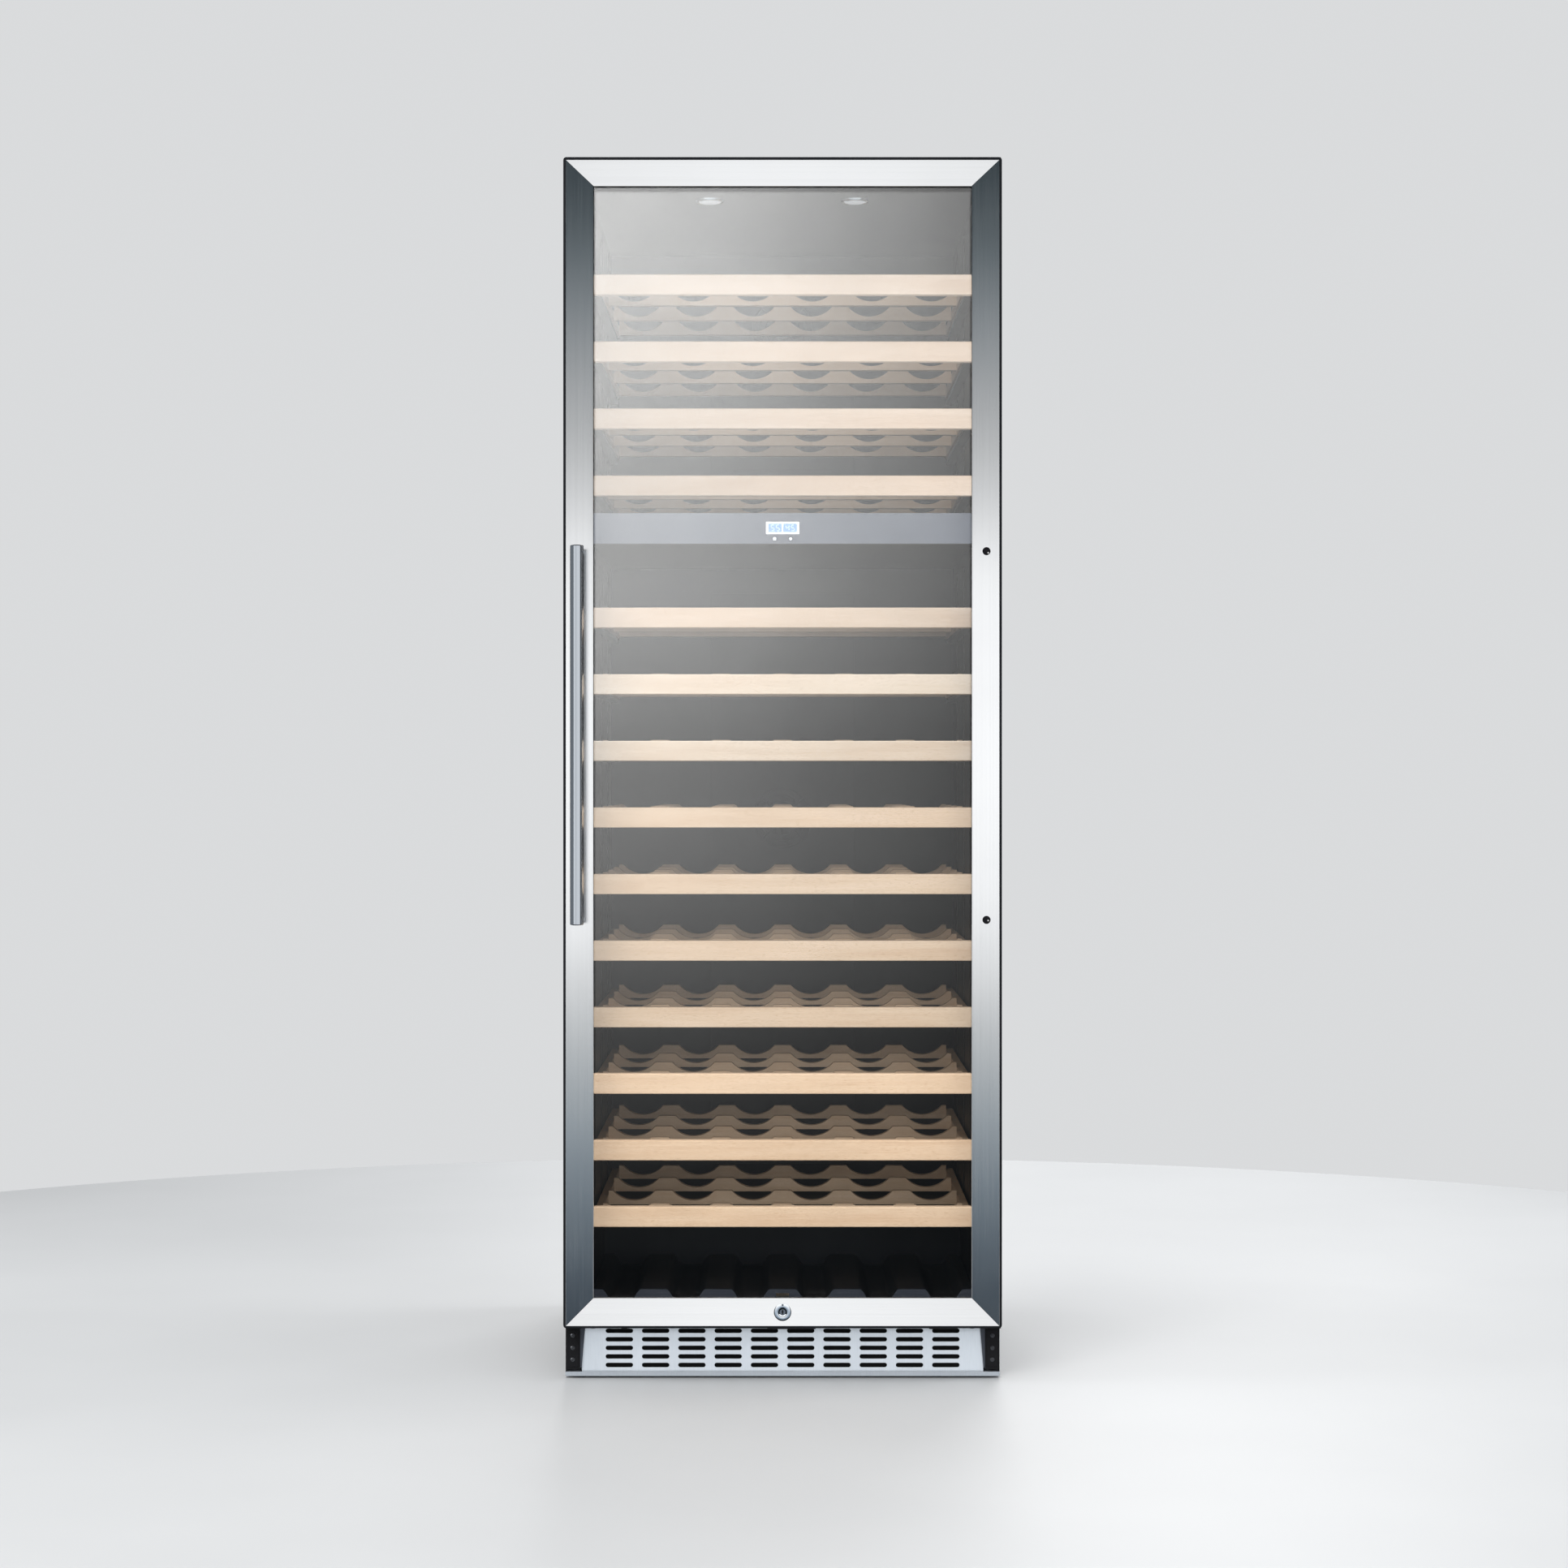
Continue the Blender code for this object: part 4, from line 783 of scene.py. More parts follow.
def build_display(front):
    """A white window with two blue fields and a pair of digits in each."""
    z = middle("display_lens").z
    field_front = front - 0.00045
    window = Shape()
    window.plate([node_loop("display_lens", 0.001)], (front - 0.0002, front + 0.0017), 0.0003)
    for x in (-0.0103, 0.0103):
        field = rounded_loop((x - 0.0094, x + 0.0094), (z - 0.0058, z + 0.0058), 0.0008)
        window.plate([field], (field_front, front), 0.0001, index=1)
    window.piece("display_window", "display", [MARK_WHITE, DISPLAY_BLUE], ["display_lens"])
    digits = Shape()
    for x, number in ((-0.0138, 5), (-0.0066, 5), (0.0068, 4), (0.014, 5)):
        add_digit(digits, number, x, z, field_front)
    digits.piece("display_digits", "display", DIGIT_BLUE)


def build_button(name):
    """A round push button with a white mark: a lamp on one, a dot on the other."""
    x, _, z = middle(name)
    low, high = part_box(name)
    mark = (low.y - 0.0001, low.y + 0.0002)
    cap = Shape().rod((x, low.y, z), (x, high.y, z), half_width(name), 0.0005, 28)
    if name == "light_button":
        turns = [math.pi * step / 10 for step in range(11)]
        dome = [(x + 0.0023 * math.cos(a), z + 0.0001 + 0.0021 * math.sin(a)) for a in turns]
        cap.plate([dome], mark, index=1)
        cap.box((x - 0.0023, mark[0], z - 0.0019), (x + 0.0023, mark[1], z - 0.0008), index=1)
    else:
        cap.rod((x, mark[0], z), (x, mark[1], z), 0.0018, 0.0, 24, 1)
    cap.piece(name + "_cap", "panel_grey", [PANEL_GREY, MARK_WHITE], [name], name)


def build_lamps():
    """Round ceiling lamps: a chrome bezel and a shallow lit dome."""
    for name in ("lamp_left", "lamp_right"):
        centre = middle(name)
        centre.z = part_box(name)[1].z
        wide = half_width(name)
        bezel = [(0, 0), (0, wide), (0.0018, wide), (0.0036, wide - 0.0012), (0.004, wide - 0.003)]
        bezel += [(0.003, wide - 0.0042), (0.003, 0)]
        dome = [(0.0028, 0), (0.0028, wide - 0.0046), (0.0036, wide - 0.0048), (0.005, wide * 0.55)]
        dome.append((0.0057, 0))
        lamp = Shape().turned(bezel, centre, -UP, 48, 1).turned(dome, centre, -UP, 48)
        lamp.piece(name + "_fitting", "lamp", [LAMP_FACE, CHROME], [name])


def slat_outline(half, height):
    """A cross slat from the front, with a smooth scallop for each bottle."""
    low = height - 0.0045
    high = height + 0.0155
    radius = 0.04
    depth = 0.014
    half_angle = math.acos(1 - depth / radius)
    outline = [(-half, low), (-half, high)]
    for column in range(BOTTLES_ACROSS):
        x = (column - (BOTTLES_ACROSS - 1) / 2) * BOTTLE_PITCH
        for step in range(13):
            angle = half_angle * (step / 6 - 1)
            outline.append((x + radius * math.sin(angle), high - depth + radius - radius * math.cos(angle)))
    return outline + [(half, high), (half, low)]


def build_shelves():
    """Every shelf's front board, and behind it two rails, four scalloped slats and their pins."""
    half_board = 0.014
    for name in SHELF_NAMES:
        low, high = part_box(name)
        height = low.z + half_board
        board = Shape().box(low, (high.x, low.y + 0.018, height + half_board), 0.0016, 3)
        board.piece(name + "_front_board", "beech", BEECH_X, [name], name)
        rack = Shape()
        for y in SLAT_PLACES:
            rack.plate([slat_outline(high.x - 0.0118, height)], (y - 0.007, y + 0.007), 0.0007)
        for sign in (-1, 1):
            inner, outer = sorted((sign * (high.x - 0.0005), sign * (high.x - 0.012)))
            rack.box((inner, low.y + 0.0175, height - 0.007), (outer, high.y, height + 0.009), 0.001, 2, 1)
            for y in SLAT_PLACES:
                foot = Vector((sign * (high.x - 0.0063), y, height + 0.0085))
                rack.rod(foot, foot + UP * 0.0008, 0.0022, 0.0002, 12, 2)
        rack.piece(name + "_rails_and_slats", "beech", [BEECH_X, BEECH_Y, ZINC], body=name)


def build_ducts():
    """The air ducts' covers: a round guard in front of the fan, and four louvres below."""
    wall = 0.0025
    corner = 0.006
    half_louvre = 0.075
    for name, fan in (("upper_air_duct", "upper_fan"), ("lower_air_duct", "lower_fan")):
        low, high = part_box(name)
        fan_z = FANS[fan][0][2]
        louvre_heights = [low.z + 0.04 + 0.012 * row for row in range(4)]
        loops = [node_loop(name, corner, 4), circle(0.047, 48, 0.0, fan_z)]
        for z in louvre_heights:
            loops.append(rounded_loop((-half_louvre, half_louvre), (z - 0.0022, z + 0.0022), 0.0021))
        duct = Shape().plate(loops, (low.y, low.y + wall), 0.0007)
        rows = (low.z + corner, high.z - corner)
        columns = (low.x + corner, high.x - corner)
        for x, z in (((low.x, low.x + wall), rows), ((high.x - wall, high.x), rows),
                     (columns, (low.z, low.z + wall)), (columns, (high.z - wall, high.z))):
            duct.box((x[0], low.y + 0.0018, z[0]), (x[1], high.y, z[1]))
        guard = Vector((0.0, low.y + 0.0013, fan_z))
        for radius in (0.0445, 0.035, 0.0255):
            ring = [(x, guard.y, z) for x, z in circle(radius, 40, 0.0, fan_z)]
            duct.add(tube_shape(ring + ring[:1], 0.001, 8))
        for spoke in range(4):
            angle = math.pi / 2 * (spoke + 0.5)
            way = Vector((math.cos(angle), 0.0, math.sin(angle)))
            duct.add(tube_shape([guard + way * 0.012, guard + way * 0.048], 0.0012, 8))
        duct.rod((0, low.y, fan_z), (0, low.y + 0.007, fan_z), 0.014, 0.0008)
        for z in louvre_heights:
            duct.box((-0.074, low.y + 0.0026, z - 0.003), (0.074, low.y + 0.004, z + 0.0005))
        duct.piece(name + "_cover", "liner_black", LINER_BLACK, [name])


# ---------------------------------------------------------------- fans and machine compartment
def blade_sections(radius, hub_radius):
    """A twisted blade that leans back, from the hub out to a narrower tip."""
    outline = ((-1, 0), (-0.6, 1), (0, 1.3), (0.6, 1), (1, 0), (0.6, -1), (0, -1.0), (-0.6, -1))
    sections = []
    for step in range(7):
        share = step / 6
        out = hub_radius - 0.001 + (radius - hub_radius) * share
        chord = radius * (0.17 + 0.11 * math.sin(math.pi * min(1.0, share * 1.15) * 0.75))
        if step == 6:
            chord *= 0.86
        pitch = math.radians(34 - 16 * share)
        lean = -0.12 * radius * share * share
        ring = []
        for along, thick in outline:
            a = chord * along
            t = 0.0008 * thick
            side = a * math.cos(pitch) - t * math.sin(pitch) + lean
            ring.append((out, side, a * math.sin(pitch) + t * math.cos(pitch)))
        sections.append(ring)
    return sections


def build_fan(name):
    """A hub with five twisted, rounded blades."""
    centre, axis, radius, hub_radius, length = FANS[name]
    place = Matrix.Translation(centre) @ UP.rotation_difference(axis).to_matrix().to_4x4()
    half = length / 2
    hub = [(-half, 0), (-half, hub_radius - 0.001), (-half + 0.001, hub_radius), (half - 0.002, hub_radius)]
    hub += [(half - 0.0005, hub_radius - 0.002), (half, 0)]
    fan = Shape().add(lathe_shape(hub, (0, 0, 0), UP), place=place)
    for blade in range(5):
        spin = Matrix.Rotation(2 * math.pi * blade / 5, 4, "Z")
        fan.add(strip_shape(blade_sections(radius, hub_radius)), place=place @ spin)
    fan.piece(name + "_rotor", "black_plastic", BLACK_PLASTIC, [name], name)


def build_compressor():
    """A welded pot with a seam, on a foot plate with four rubber grommets, and its terminal cover."""
    x, y = 0.125, 0.245
    pot = Shape()
    profile = mm((16, 0), (17, 30), (22, 46), (30, 56), (40, 62), (76, 65.5), (78.5, 68), (87.5, 68),
                 (90, 66), (105, 65.5), (120, 64), (131, 60), (140, 54), (147, 43), (151, 30), (153.5, 14),
                 (154, 0))
    pot.turned(profile, (x, y, 0), UP, 48)
    pot.box((x - 0.075, y - 0.055, 0.0053), (x + 0.075, y + 0.055, 0.0085), 0.001)
    for dx in (-0.062, 0.062):
        for dy in (-0.043, 0.043):
            pot.rod((x + dx, y + dy, 0.0075), (x + dx, y + dy, 0.0175), 0.009, 0.002, 20, 1)
            pot.rod((x + dx, y + dy, 0.017), (x + dx, y + dy, 0.019), 0.0045, 0.0006, 12, 2)
    pot.rod((x, y, 0.008), (x, y, 0.02), 0.036, 0.002)
    pot.box((x - 0.022, y + 0.0585, 0.05), (x + 0.022, y + 0.072, 0.095), 0.003, 3, 1)
    pot.piece("compressor_pot", "black_case", [BLACK_PAINT, BLACK_PLASTIC, ZINC], ["compressor"])
    pipes = Shape()
    for start, end in (mm((66, 215, 95), (-40, 185, 148)), mm((185, 222, 100), (215, 175, 155))):
        points = []
        for step in range(15):
            share = step / 14
            ease = share * share * (3 - 2 * share)
            points.append([a + (b - a) * part for a, b, part in zip(start, end, (ease, share, ease))])
        pipes.add(tube_shape(points, 0.0032))
    pipes.piece("refrigerant_pipes", "silver_sheet", COPPER)


def build_condenser():
    """The finned block, with the bends of its tubes before and behind it."""
    dress("condenser", FINS)
    bends = Shape()
    turns = [math.pi * step / 8 for step in range(9)]
    for z in (0.03, 0.06, 0.09, 0.12):
        for y, bulge in ((0.164, -0.008), (0.326, 0.008)):
            bend = [(0.05 * math.cos(a) - 0.17, y + bulge * math.sin(a), z) for a in turns]
            bends.add(tube_shape(bend, 0.003, 10))
    bends.piece("condenser_bends", "silver_sheet", COPPER)


def build_cord_gland():
    """A rubber bush around an open hole."""
    bush = mm((-12, 4.2), (-12, 7.8), (0.3, 7.8), (0.3, 12), (1.2, 12), (2, 10.8), (2, 5.5), (1, 4.2),
              (-12, 4.2))
    gland = Shape().turned(bush, (-0.245, CABINET_BACK, 0.06), INWARD)
    gland.piece("cord_gland_bush", "rubber", RUBBER, ["cord_gland"])


# ---------------------------------------------------------------- door
def build_door():
    dress("door_frame", FRAME_BLACK, 0.0005)
    dress("lock_keeper", ZINC, 0.0002)
    for name in ("outer_glass", "inner_glass"):
        dress(name, GLASS)
    build_trims()
    build_seals()
    build_handle()
    build_plugs()
    build_lock()
    build_door_clips()


def build_trims():
    """Four mitred facings with a rolled outer edge and a sloping inner lip."""
    lip = 0.0046
    gap = 0.0002  # left open at each mitre
    front = DOOR_FRONT
    back = DOOR_FRONT + 0.0025
    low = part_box("door_trim_left")[0]
    right_low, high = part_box("door_trim_right")
    side_width = high.x - right_low.x
    section = [(-0.0006, back), (-0.0006, front + 0.0004), (-0.0004, front + 0.0001), (0.0, front)]
    section += [(side_width - lip - 0.0004, front), (side_width - lip + 0.0004, front + 0.00004)]
    section += [(side_width - 0.0007, front + 0.0005), (side_width - 0.0002, front + 0.0007)]
    section += [(side_width, front + 0.0012), (side_width, back)]
    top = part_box("door_trim_top")
    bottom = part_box("door_trim_bottom")
    outer = [(low.x, top[1].z), (high.x, top[1].z), (high.x, bottom[0].z), (low.x, bottom[0].z)]
    inside = right_low.x
    inner = [(-inside, top[0].z), (inside, top[0].z), (inside, bottom[1].z), (-inside, bottom[1].z)]
    for index, name in ((0, "top"), (2, "bottom"), (3, "left"), (1, "right")):
        start, end = Vector(outer[index]), Vector(outer[(index + 1) % 4])
        along = (end - start).normalized()
        sections = []
        for corner, way in ((index, 1), ((index + 1) % 4, -1)):
            out = Vector(outer[corner])
            reach = Vector(inner[corner]) - out
            spots = [(out + reach * (across / side_width) + along * gap * way, y) for across, y in section]
            sections.append([(spot.x, y, spot.y) for spot, y in spots])
        steel = STEEL_Z if name in ("left", "right") else STEEL_X
        facing = Shape().add(strip_shape(sections))
        item = facing.piece(f"door_facing_{name}", "brushed_steel", steel, [f"door_trim_{name}"], "door", 25)
        if name == "bottom":
            carve(item, rod_shape((0, front - 0.01, LOCK_HEIGHT), (0, front + 0.01, LOCK_HEIGHT), 0.0092))


def build_seals():
    """The bar between the panes, and the magnetic gasket: a magnet pocket, a bellows and a foot."""
    square = [(0.0, 0.0), (1.0, 0.0), (1.0, 1.0), (0.0, 1.0)]
    spacer = Shape().add(frame_shape("glass_spacer", 0.0024, square))
    spacer.piece("glass_spacer_bar", "black_plastic", SPACER_GREY, ["glass_spacer"], "door")
    section = ((0.1, 0), (0.9, 0), (0.9, 0.12), (0.78, 0.2), (0.96, 0.36), (0.8, 0.5), (0.98, 0.66),
               (0.98, 0.92), (0.9, 1), (0.1, 1), (0.02, 0.92), (0.02, 0.66), (0.18, 0.5), (0.04, 0.36),
               (0.2, 0.2), (0.1, 0.12))
    gasket = Shape().add(frame_shape("door_gasket", 0.012, section))
    gasket.piece("door_gasket_bellows", "rubber", RUBBER, ["door_gasket"], "door", 25)


def build_handle():
    """A round bar with dished ends, on two posts that widen into a foot at the door."""
    low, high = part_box("door_handle")
    radius = half_width("door_handle")
    x = (low.x + high.x) / 2
    y = low.y + radius
    long = high.z - low.z
    rim = 0.0012
    end = [(0, 0), (0, radius - 0.0034), (0.0004, radius - 0.003), (0.0004, radius - rim)]
    for turn in (math.pi / 6, math.pi / 3, math.pi / 2):
        end.append((0.0004 + rim * (1 - math.cos(turn)), radius - rim * (1 - math.sin(turn))))
    far_end = [(long - along, wide) for along, wide in reversed(end)]
    handle = Shape().turned(end + far_end, (x, y, low.z), UP, 64)
    reach = DOOR_FRONT - 0.0003 - y
    post = mm((0, 0), (0, 5), (18, 5), (24.5, 5), (26.2, 5.6), (26.8, 6.6))
    post += [(reach - 0.0004, 0.0068), (reach, 0.0064), (reach, 0)]
    for z in (low.z + 0.0055, high.z - 0.0055):
        handle.turned(post, (x, y, z), INWARD)
    handle.piece("handle_bar", "brushed_steel", STEEL_BAR, ["door_handle"], "door")


def build_plugs():
    """Low domes that close the spare handle holes in the other stile."""
    shank = 0.0033
    for name in ("hole_plug_lower", "hole_plug_upper"):
        centre = middle(name)
        centre.y = DOOR_FRONT
        wide = half_width(name)
        dome = [(-0.0022, 0), (-0.0022, shank), (0.0003, shank), (0.0003, wide), (0.0006, wide - 0.0001)]
        for rise, share in ((0.85, 0.9), (1.15, 0.76), (1.45, 0.6), (1.7, 0.43), (1.88, 0.26), (1.96, 0.12)):
            dome.append((rise / 1000, wide * share))
        dome.append((0.00198, 0))
        Shape().turned(dome, centre).piece(name + "_dome", "black_plastic", PLUG_BLACK, [name], "door")


def build_lock():
    """A domed chrome bezel with a pip, and a core with a dished rim, a dark keyed face, a shaft and a cam."""
    z = LOCK_HEIGHT
    front = DOOR_FRONT
    centre = (0, front, z)
    bezel = mm((-36, 6.4), (-36, 8.5), (0.3, 8.5), (0.3, 11.7), (0.6, 11.8), (1.2, 10.8), (1.7, 9.4),
               (1.9, 8.2), (1.7, 7.2), (1.4, 6.4), (-36, 6.4))
    pip = mm((1.2, 0), (1.2, 1.4), (2.2, 1.4), (2.7, 1), (2.9, 0.4), (2.9, 0))
    housing = Shape().turned(bezel, centre, sides=64)
    housing.turned(pip, (0, front, z + 0.01), sides=20, index=1)
    housing.piece("lock_bezel", "chrome", [CHROME, LOCK_DARK], ["lock_housing"], "door")
    core = Shape()
    rim = mm((-4, 4), (-4, 6), (1.1, 6), (1.2, 5.9), (0.4, 4.3), (0.2, 4), (-4, 4))
    core.turned(rim, centre, sides=48, index=3)
    right_half = mm((0.7, -3.1), (0.7, -0.9), (1.3, -0.3), (1.3, 0.9), (0.7, 1.4), (0.7, 3.1))
    slot = right_half + [(-x, height) for x, height in reversed(right_half)]
    keyhole = [(x, z + height) for x, height in slot]
    face_y = front + 0.0002
    core.plate([circle(0.0041, 40, 0.0, z), keyhole], (face_y, face_y + 0.0036), 0.0002)
    # The shaft behind the keyhole is near-black: painted shade in the keyway.
    core.rod((0, face_y + 0.0034, z), (0, DOOR_BACK - 0.004, z), 0.006, 0.0, 40, 1)
    core.rod((0, DOOR_BACK - 0.005, z), (0, DOOR_BACK + 0.0022, z), 0.0035, 0.0002, 24)
    cam = rounded_loop((-0.013, 0.004), (z - 0.004, z + 0.004), 0.0039, 6)
    core.plate([cam], (DOOR_BACK + 0.0005, DOOR_BACK + 0.0025), 0.0003, index=2)
    materials = [LOCK_DARK, PAINTED_SHADE_BLACK, ZINC, CHROME]
    core.piece("lock_core", "chrome", materials, ["lock_cylinder"], "lock_cylinder")


def build_door_clips():
    """A small plastic stub and two stiffening strips under the door's lower edge."""
    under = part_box("door_frame")[0].z + 0.003
    top = under + 0.0004
    y = DOOR_FRONT + 0.012
    clips = Shape().rod((-0.215, y, under - 0.0026), (-0.215, y, top), 0.0042, 0.0012, 20)
    for left, right in ((-0.021, 0.045), (0.199, 0.238)):
        clips.box((left, y - 0.006, under - 0.0022), (right, y + 0.006, top), 0.0008)
    clips.piece("door_lower_clips", "black_plastic", BLACK_PLASTIC, body="door")


build_case()
build_feet()
build_kick_grille()
build_brackets()
build_liner()
build_cradle()
build_control_panel()
build_lamps()
build_shelves()
build_ducts()
build_fan("upper_fan")
build_fan("lower_fan")
build_compressor()
build_condenser()
build_fan("condenser_fan")
build_cord_gland()
build_door()


# ---------------------------------------------------------------- floor, backdrop and camera
def build_floor():
    shape = bmesh.new()
    bmesh.ops.create_circle(shape, cap_ends=True, segments=128, radius=2.35)
    floor = new_object("floor", new_mesh("floor", shape))
    paint = Paint("floor_pale", Roughness=0.55)
    paint.colour(paint.ramp(paint.noise(1.2, 3.0), (0.3, (0.6, 0.61, 0.62)), (0.7, (0.64, 0.65, 0.66))))
    floor.data.materials.append(paint.material)
    floor.visible_glossy = False
    floor.visible_shadow = False


def build_world():
    """A pale backdrop and a softer light all round. Mirrors see near darkness and their own cards."""
    world = bpy.data.worlds.new("studio")
    bpy.context.scene.world = world
    world.use_nodes = True
    tree = world.node_tree
    back = first_node(tree, "BACKGROUND")
    path = add_node(tree, "LightPath").outputs
    seen = mix_node(tree, path["Is Camera Ray"], (0.3, 0.31, 0.32), (0.7, 0.71, 0.72))
    mirrored = mix_node(tree, path["Is Glossy Ray"], seen, (0.018, 0.022, 0.026))
    tree.links.new(mirrored, back.inputs["Color"])
    back.inputs["Strength"].default_value = 1.0


def build_camera():
    camera = bpy.data.cameras.new("camera")
    camera.lens = 74.5
    camera.sensor_width = 36.0
    camera.shift_x = 0.0009
    holder = new_object("camera", camera)
    holder.location = (0.0, DOOR_FRONT - 4.4, 0.8123)
    holder.rotation_euler = (math.pi / 2, 0.0, 0.0)
    bpy.context.scene.camera = holder


# ---------------------------------------------------------------- light
WHITE = (1.0, 1.0, 1.0)
DAYLIGHT = (0.97, 0.985, 1.0)


def shown():
    return [item for item in bpy.data.objects if item.type == "MESH" and not item.hide_render]


def made_of(*starts):
    """The shown pieces with a material whose name has one of these starts."""
    found = []
    for item in shown():
        names = [slot.material.name for slot in item.material_slots if slot.material]
        if any(name.startswith(starts) for name in names):
            found.append(item)
    return found


def boards_between(low, high):
    """The shelves' front boards between two heights."""
    boards = [item for item in shown() if item.name.endswith("_front_board")]
    return [item for item in boards if low < item.bound_box[0][2] < high]


def all_but(pieces):
    return [item for item in shown() if item not in pieces]


def group(name, pieces):
    """A collection that a light is linked to."""
    collection = bpy.data.collections.new(name)
    for item in pieces:
        collection.objects.link(item)
    return collection


def soft_light(name, place, aim, size, power, tint=WHITE, receivers=None, mirrored=True, pattern=(),
               blockers=None):
    """An area light that the camera doesn't see. A pattern is pairs of (axis of its face, stops)."""
    lamp = bpy.data.lights.new(name, "AREA")
    lamp.shape = "RECTANGLE"
    lamp.size, lamp.size_y = size
    lamp.energy = power
    lamp.color = tint
    holder = new_object(name, lamp)
    holder.location = place
    holder.rotation_euler = (Vector(aim) - Vector(place)).to_track_quat("-Z", "Y").to_euler()
    holder.visible_camera = False
    holder.visible_glossy = mirrored
    holder.light_linking.receiver_collection = receivers
    holder.light_linking.blocker_collection = blockers
    if pattern:
        shade_light(lamp, pattern)


def shade_light(lamp, pattern):
    """Gives a light the product of a ramp along each axis of its face that is named."""
    lamp.use_nodes = True
    tree = lamp.node_tree
    glow = first_node(tree, "EMISSION")
    face = add_node(tree, "NewGeometry").outputs["Parametric"]
    place = add_node(tree, "SeparateXYZ", {0: face}).outputs
    tone = None
    for axis, stops in pattern:
        ramp = ramp_node(tree, place[axis], stops, "CARDINAL")
        tone = mix_node(tree, 1.0, tone, ramp, "MULTIPLY") if tone else ramp
    tree.links.new(tone, glow.inputs["Color"])


def upright_card(name, low, high, width, radiance, levels, receivers, across=()):
    """A shaded card far in front, which linked pieces mirror. Levels are (height, tone)."""
    tall = high - low
    centre = (low + high) / 2
    pattern = [(1, [((height - low) / tall, tone) for height, tone in levels])]
    if across:
        pattern.append((0, across))
    power = radiance * math.pi * width * tall
    place = (0.0, -7.7, centre)
    aim = (0.0, 0.0, centre)
    soft_light(name, place, aim, (width, tall), power, WHITE, receivers, True, pattern)


def light_shelves():
    """Each height of board has its own light, so that the wood is even behind the mirroring pane."""
    boards = group("wooden_pieces", made_of("beech"))
    inside = group("inside_pieces", made_of("beech", "liner"))
    above = (0.5, -2.3, 3.0)
    low_front = (0.0, -2.6, 1.2)
    high_front = (0.0, -2.6, 3.0)
    panel = made_of("panel_grey")
    cradle = made_of("cradle")
    rows = (  # heights, the light's place, power and tint, what else it lights, and what casts shadows
        ("top_shelves", (1.1, 2.0), (0.95, -1.0, 1.15), 28.0, (0.87, 0.97, 1.14), [], boards),
        ("fifth_shelf", (0.98, 1.1), above, 75.0, (0.78, 0.93, 1.2), panel, inside),
        ("middle_shelves", (0.8, 0.98), above, 108.0, (0.765, 0.97, 1.24), [], inside),
        ("lower_shelves", (0.45, 0.8), low_front, 42.0, (0.92, 1.01, 1.12), [], inside),
        ("bottom_shelves", (0.0, 0.45), high_front, 158.0, (1.0, 0.985, 0.975), cradle, inside),
    )
    for name, span, place, power, tint, others, blockers in rows:
        lit = group(name, boards_between(*span) + others)
        aim = (0.0, -0.3, sum(span) / 2)
        soft_light(name + "_light", place, aim, (0.9, 0.9), power, tint, lit, False, blockers=blockers)


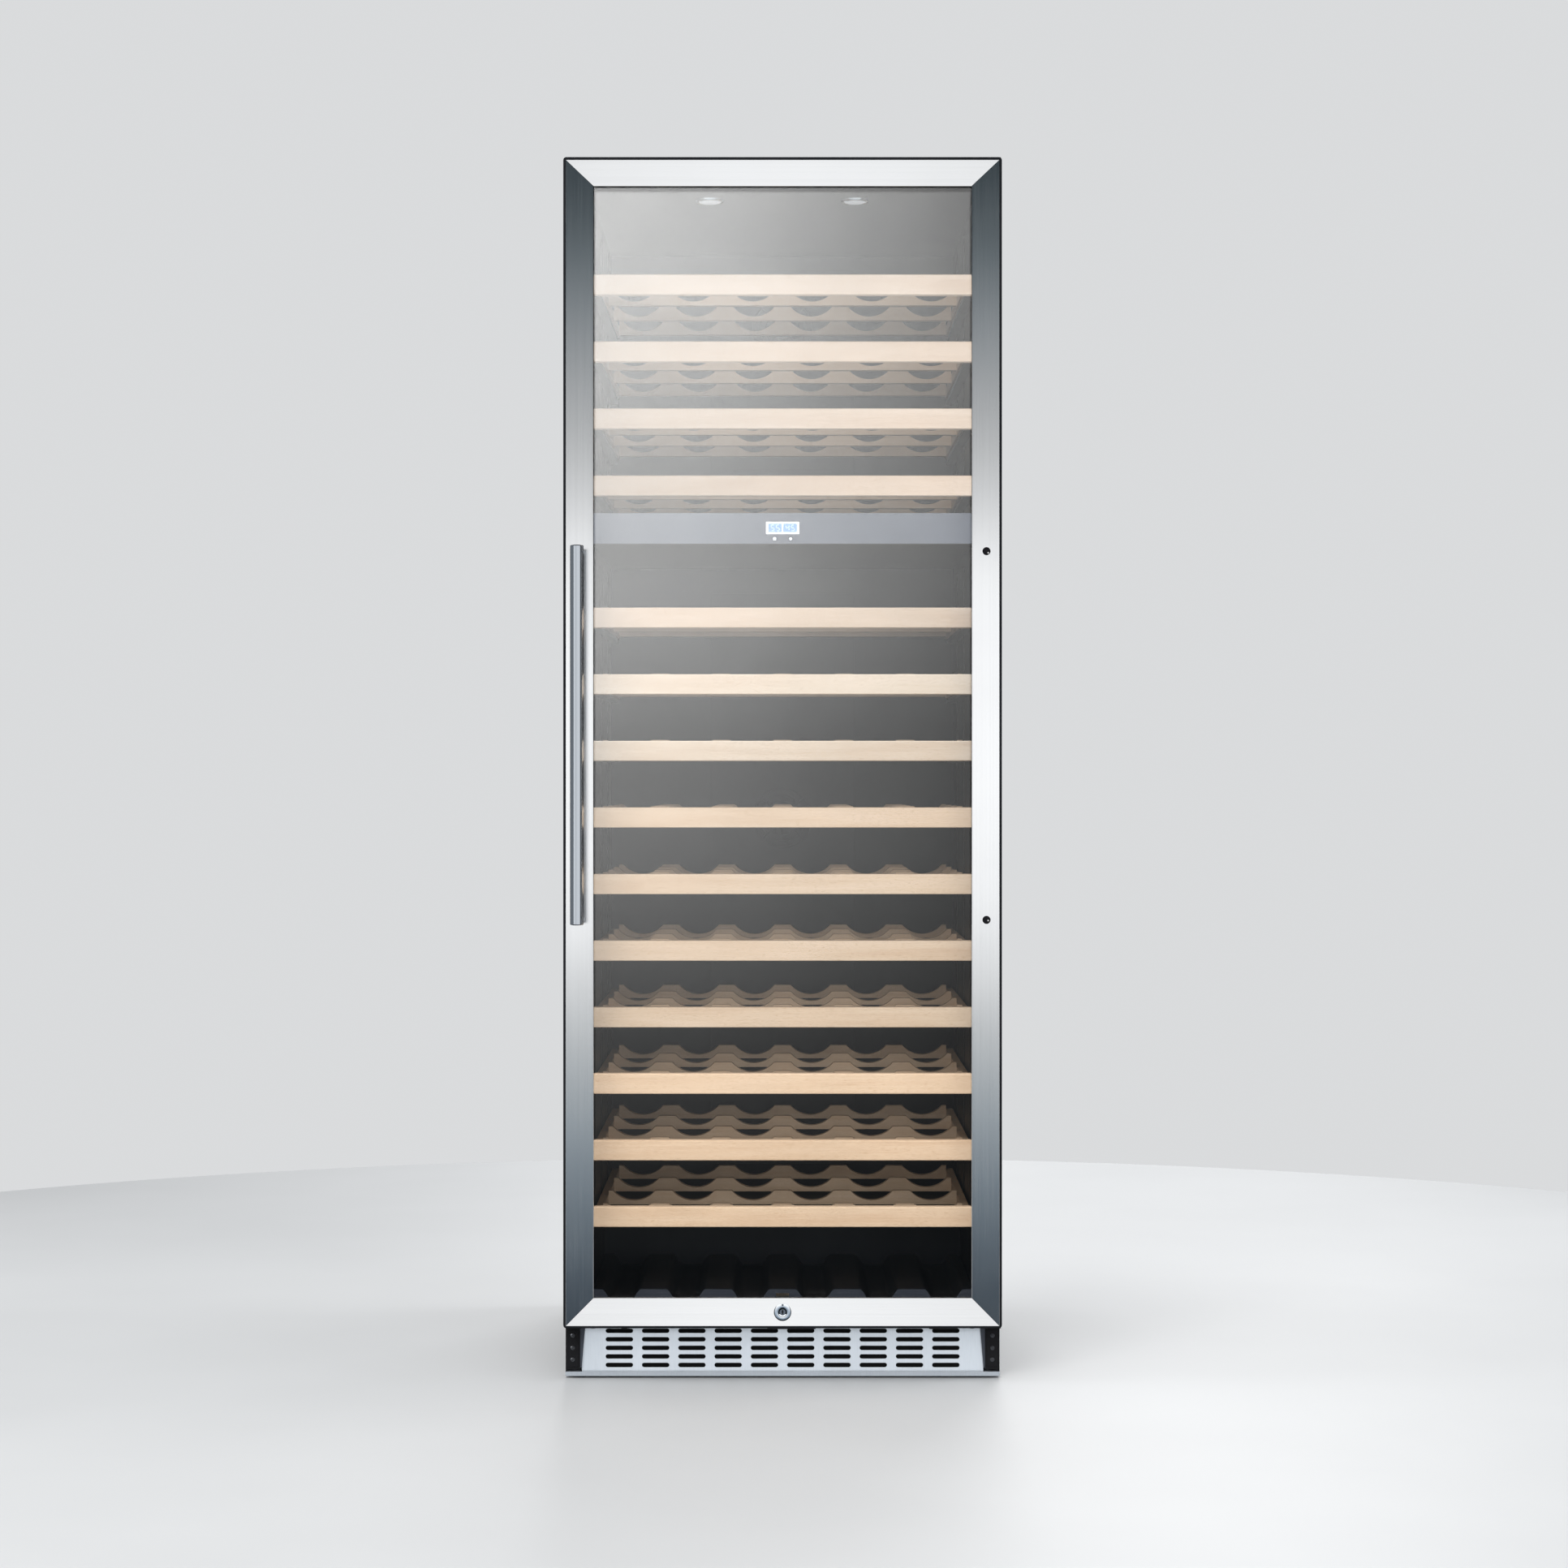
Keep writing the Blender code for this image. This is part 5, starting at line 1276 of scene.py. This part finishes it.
def build_cards():
    """What the steel, the glass, the handle and the chrome mirror."""
    # White across the middle, falling to a cool dark above and below.
    upright_card("stile_card", -1.6, 3.4, 5.0, 1.32, [
        (-1.6, (0.005, 0.01, 0.015)), (-1.02, (0.012, 0.022, 0.034)), (-0.73, (0.075, 0.105, 0.135)),
        (-0.49, (0.2, 0.24, 0.27)), (-0.25, (0.34, 0.37, 0.385)), (-0.04, 0.44), (0.17, 0.82), (0.5, 0.95),
        (1.6, 0.95), (1.73, 0.9), (1.83, 0.55), (2.01, 0.41), (2.19, 0.35), (2.48, (0.2, 0.225, 0.24)),
        (2.78, (0.055, 0.072, 0.08)), (2.99, (0.004, 0.014, 0.018)), (3.4, (0.0, 0.008, 0.012))],
        group("stile_pieces", made_of("steel_brushed_upright")))
    upright_card("rail_card", -4.0, 5.6, 4.0, 1.16, [
        (-4.0, 0.7), (-1.6, 1.0), (1.0, 1.0), (3.2, 0.98), (5.6, 0.8)],
        group("rail_pieces", made_of("steel_brushed_across")),
        [(0.0, 0.75), (0.28, 0.88), (0.45, 1.0), (0.55, 1.0), (0.72, 0.88), (1.0, 0.75)])
    # The panes mirror a card that is bright at the upper left and dark at the lower right.
    upright_card("pane_card", -1.15, 3.45, 3.0, 4.4, [
        (-1.15, 0.0), (-0.93, 0.002), (-0.49, 0.032), (0.02, 0.115), (0.52, 0.255), (1.0, 0.36),
        (1.47, 0.58), (1.77, 0.62), (2.4, 0.84), (2.96, 1.0), (3.45, 1.0)],
        group("glass_pieces", made_of("door_glass")),
        [(0.0, 1.0), (0.29, 1.0), (0.5, 0.72), (0.71, 0.36), (1.0, 0.15)])
    # The round bar mirrors a wide card in front of it, a dim one at its left and nothing at its right.
    bars = group("bar_pieces", made_of("steel_bar"))
    bar = Vector((-0.2765, -0.3455, 0.9))
    ahead = bar + ACROSS * 1.19
    tones = ((0.0, 0.92), (0.09, 1.0), (0.19, 0.76), (0.38, 0.8), (0.5, 0.92), (0.62, 0.72), (1.0, 0.66))
    blue_white = (0.93, 0.965, 1.0)
    place = ahead - INWARD * 2.0
    soft_light("bar_card", place, ahead, (7.5, 2.6), 57.0, blue_white, bars, True, [(0, tones)])
    at_left = Vector((-2.0, -0.15, 0.9))
    soft_light("bar_card_left", at_left, at_left + ACROSS, (3.1, 2.6), 5.0, (0.84, 0.92, 1.0), bars)
    plugs = group("plug_pieces", made_of("plug_black"))
    soft_light("plug_card", (1.7, -3.0, 0.1), (0.27, -0.3, 0.87), (0.8, 0.8), 45.0, WHITE, plugs)
    chromed = group("chrome_pieces", made_of("chrome"))
    tones = ((0.0, (0.13, 0.16, 0.2)), (0.22, (0.24, 0.28, 0.33)), (0.38, (0.42, 0.47, 0.53)), (0.7, 0.9),
             (1.0, 1.0))
    place = Vector((0.0, -2.7, 0.4))
    soft_light("chrome_card", place, place + INWARD, (5.4, 5.6), 124.0, WHITE, chromed, True, [(1, tones)])
    # Pale walls and floor around, which the steel and glass mirror when seen from the sides or above.
    facing = group("facing_pieces", made_of("steel_brushed", "door_glass"))
    for name, place, aim, size, power in (
        ("side_card", (-3.35, -3.7, -1.55), (0.0, 0.0, -0.6), (4.0, 4.0), 34.0),
        ("side_card", (3.35, -3.7, -1.55), (0.0, 0.0, -0.6), (4.0, 4.0), 34.0),
        ("floor_card", (0.0, -2.7, -1.6), (0.0, -2.7, 0.0), (6.0, 3.6), 34.0),
        ("right_wall_card", (5.0, 2.0, 0.9), (0.0, 2.0, 0.9), (8.0, 5.0), 85.0),  # for the open door
        ("rear_wall_card", (1.5, 6.5, 0.9), (1.5, 0.0, 0.9), (8.0, 5.0), 85.0),  # for the open door
    ):
        soft_light(name, place, aim, size, power, DAYLIGHT, facing)


def build_lights():
    light_shelves()
    build_cards()
    middle_height = (0.0, 0.0, 0.8)
    silver = group("silver_pieces", made_of("silver"))
    cool = (0.95, 0.98, 1.0)
    soft_light("silver_light", (0.0, -3.2, 0.5), (0.0, 0.0, 0.1), (2.0, 0.9), 97.0, cool, silver, False)
    room = group("all_but_top_boards", all_but(boards_between(1.1, 2.0)))
    soft_light("key", (-1.6, -4.2, 3.0), middle_height, (2.2, 2.2), 130.0, (1.0, 0.985, 0.96), room, False)
    soft_light("front_fill", (1.2, -5.2, 1.2), (0.0, 0.0, 0.75), (2.6, 2.4), 95.0, DAYLIGHT, room, False)
    not_bar = group("all_but_the_bar", all_but(made_of("steel_bar")))
    soft_light("rim_left", (-3.0, -0.4, 1.6), (0.0, 0.0, 0.9), (1.2, 2.4), 35.0, WHITE, not_bar)
    soft_light("rim_right", (3.0, 0.6, 1.6), (0.0, 0.0, 0.9), (1.2, 2.4), 35.0, WHITE, not_bar)
    soft_light("back_fill", (0.6, 4.0, 2.4), middle_height, (2.6, 2.6), 90.0)
    soft_light("top_soft", (0.0, -0.4, 3.9), (0.0, 0.0, 0.0), (3.0, 3.0), 60.0, mirrored=False)


build_floor()
build_world()
build_camera()
build_lights()
bpy.context.scene.view_settings.view_transform = "Standard"
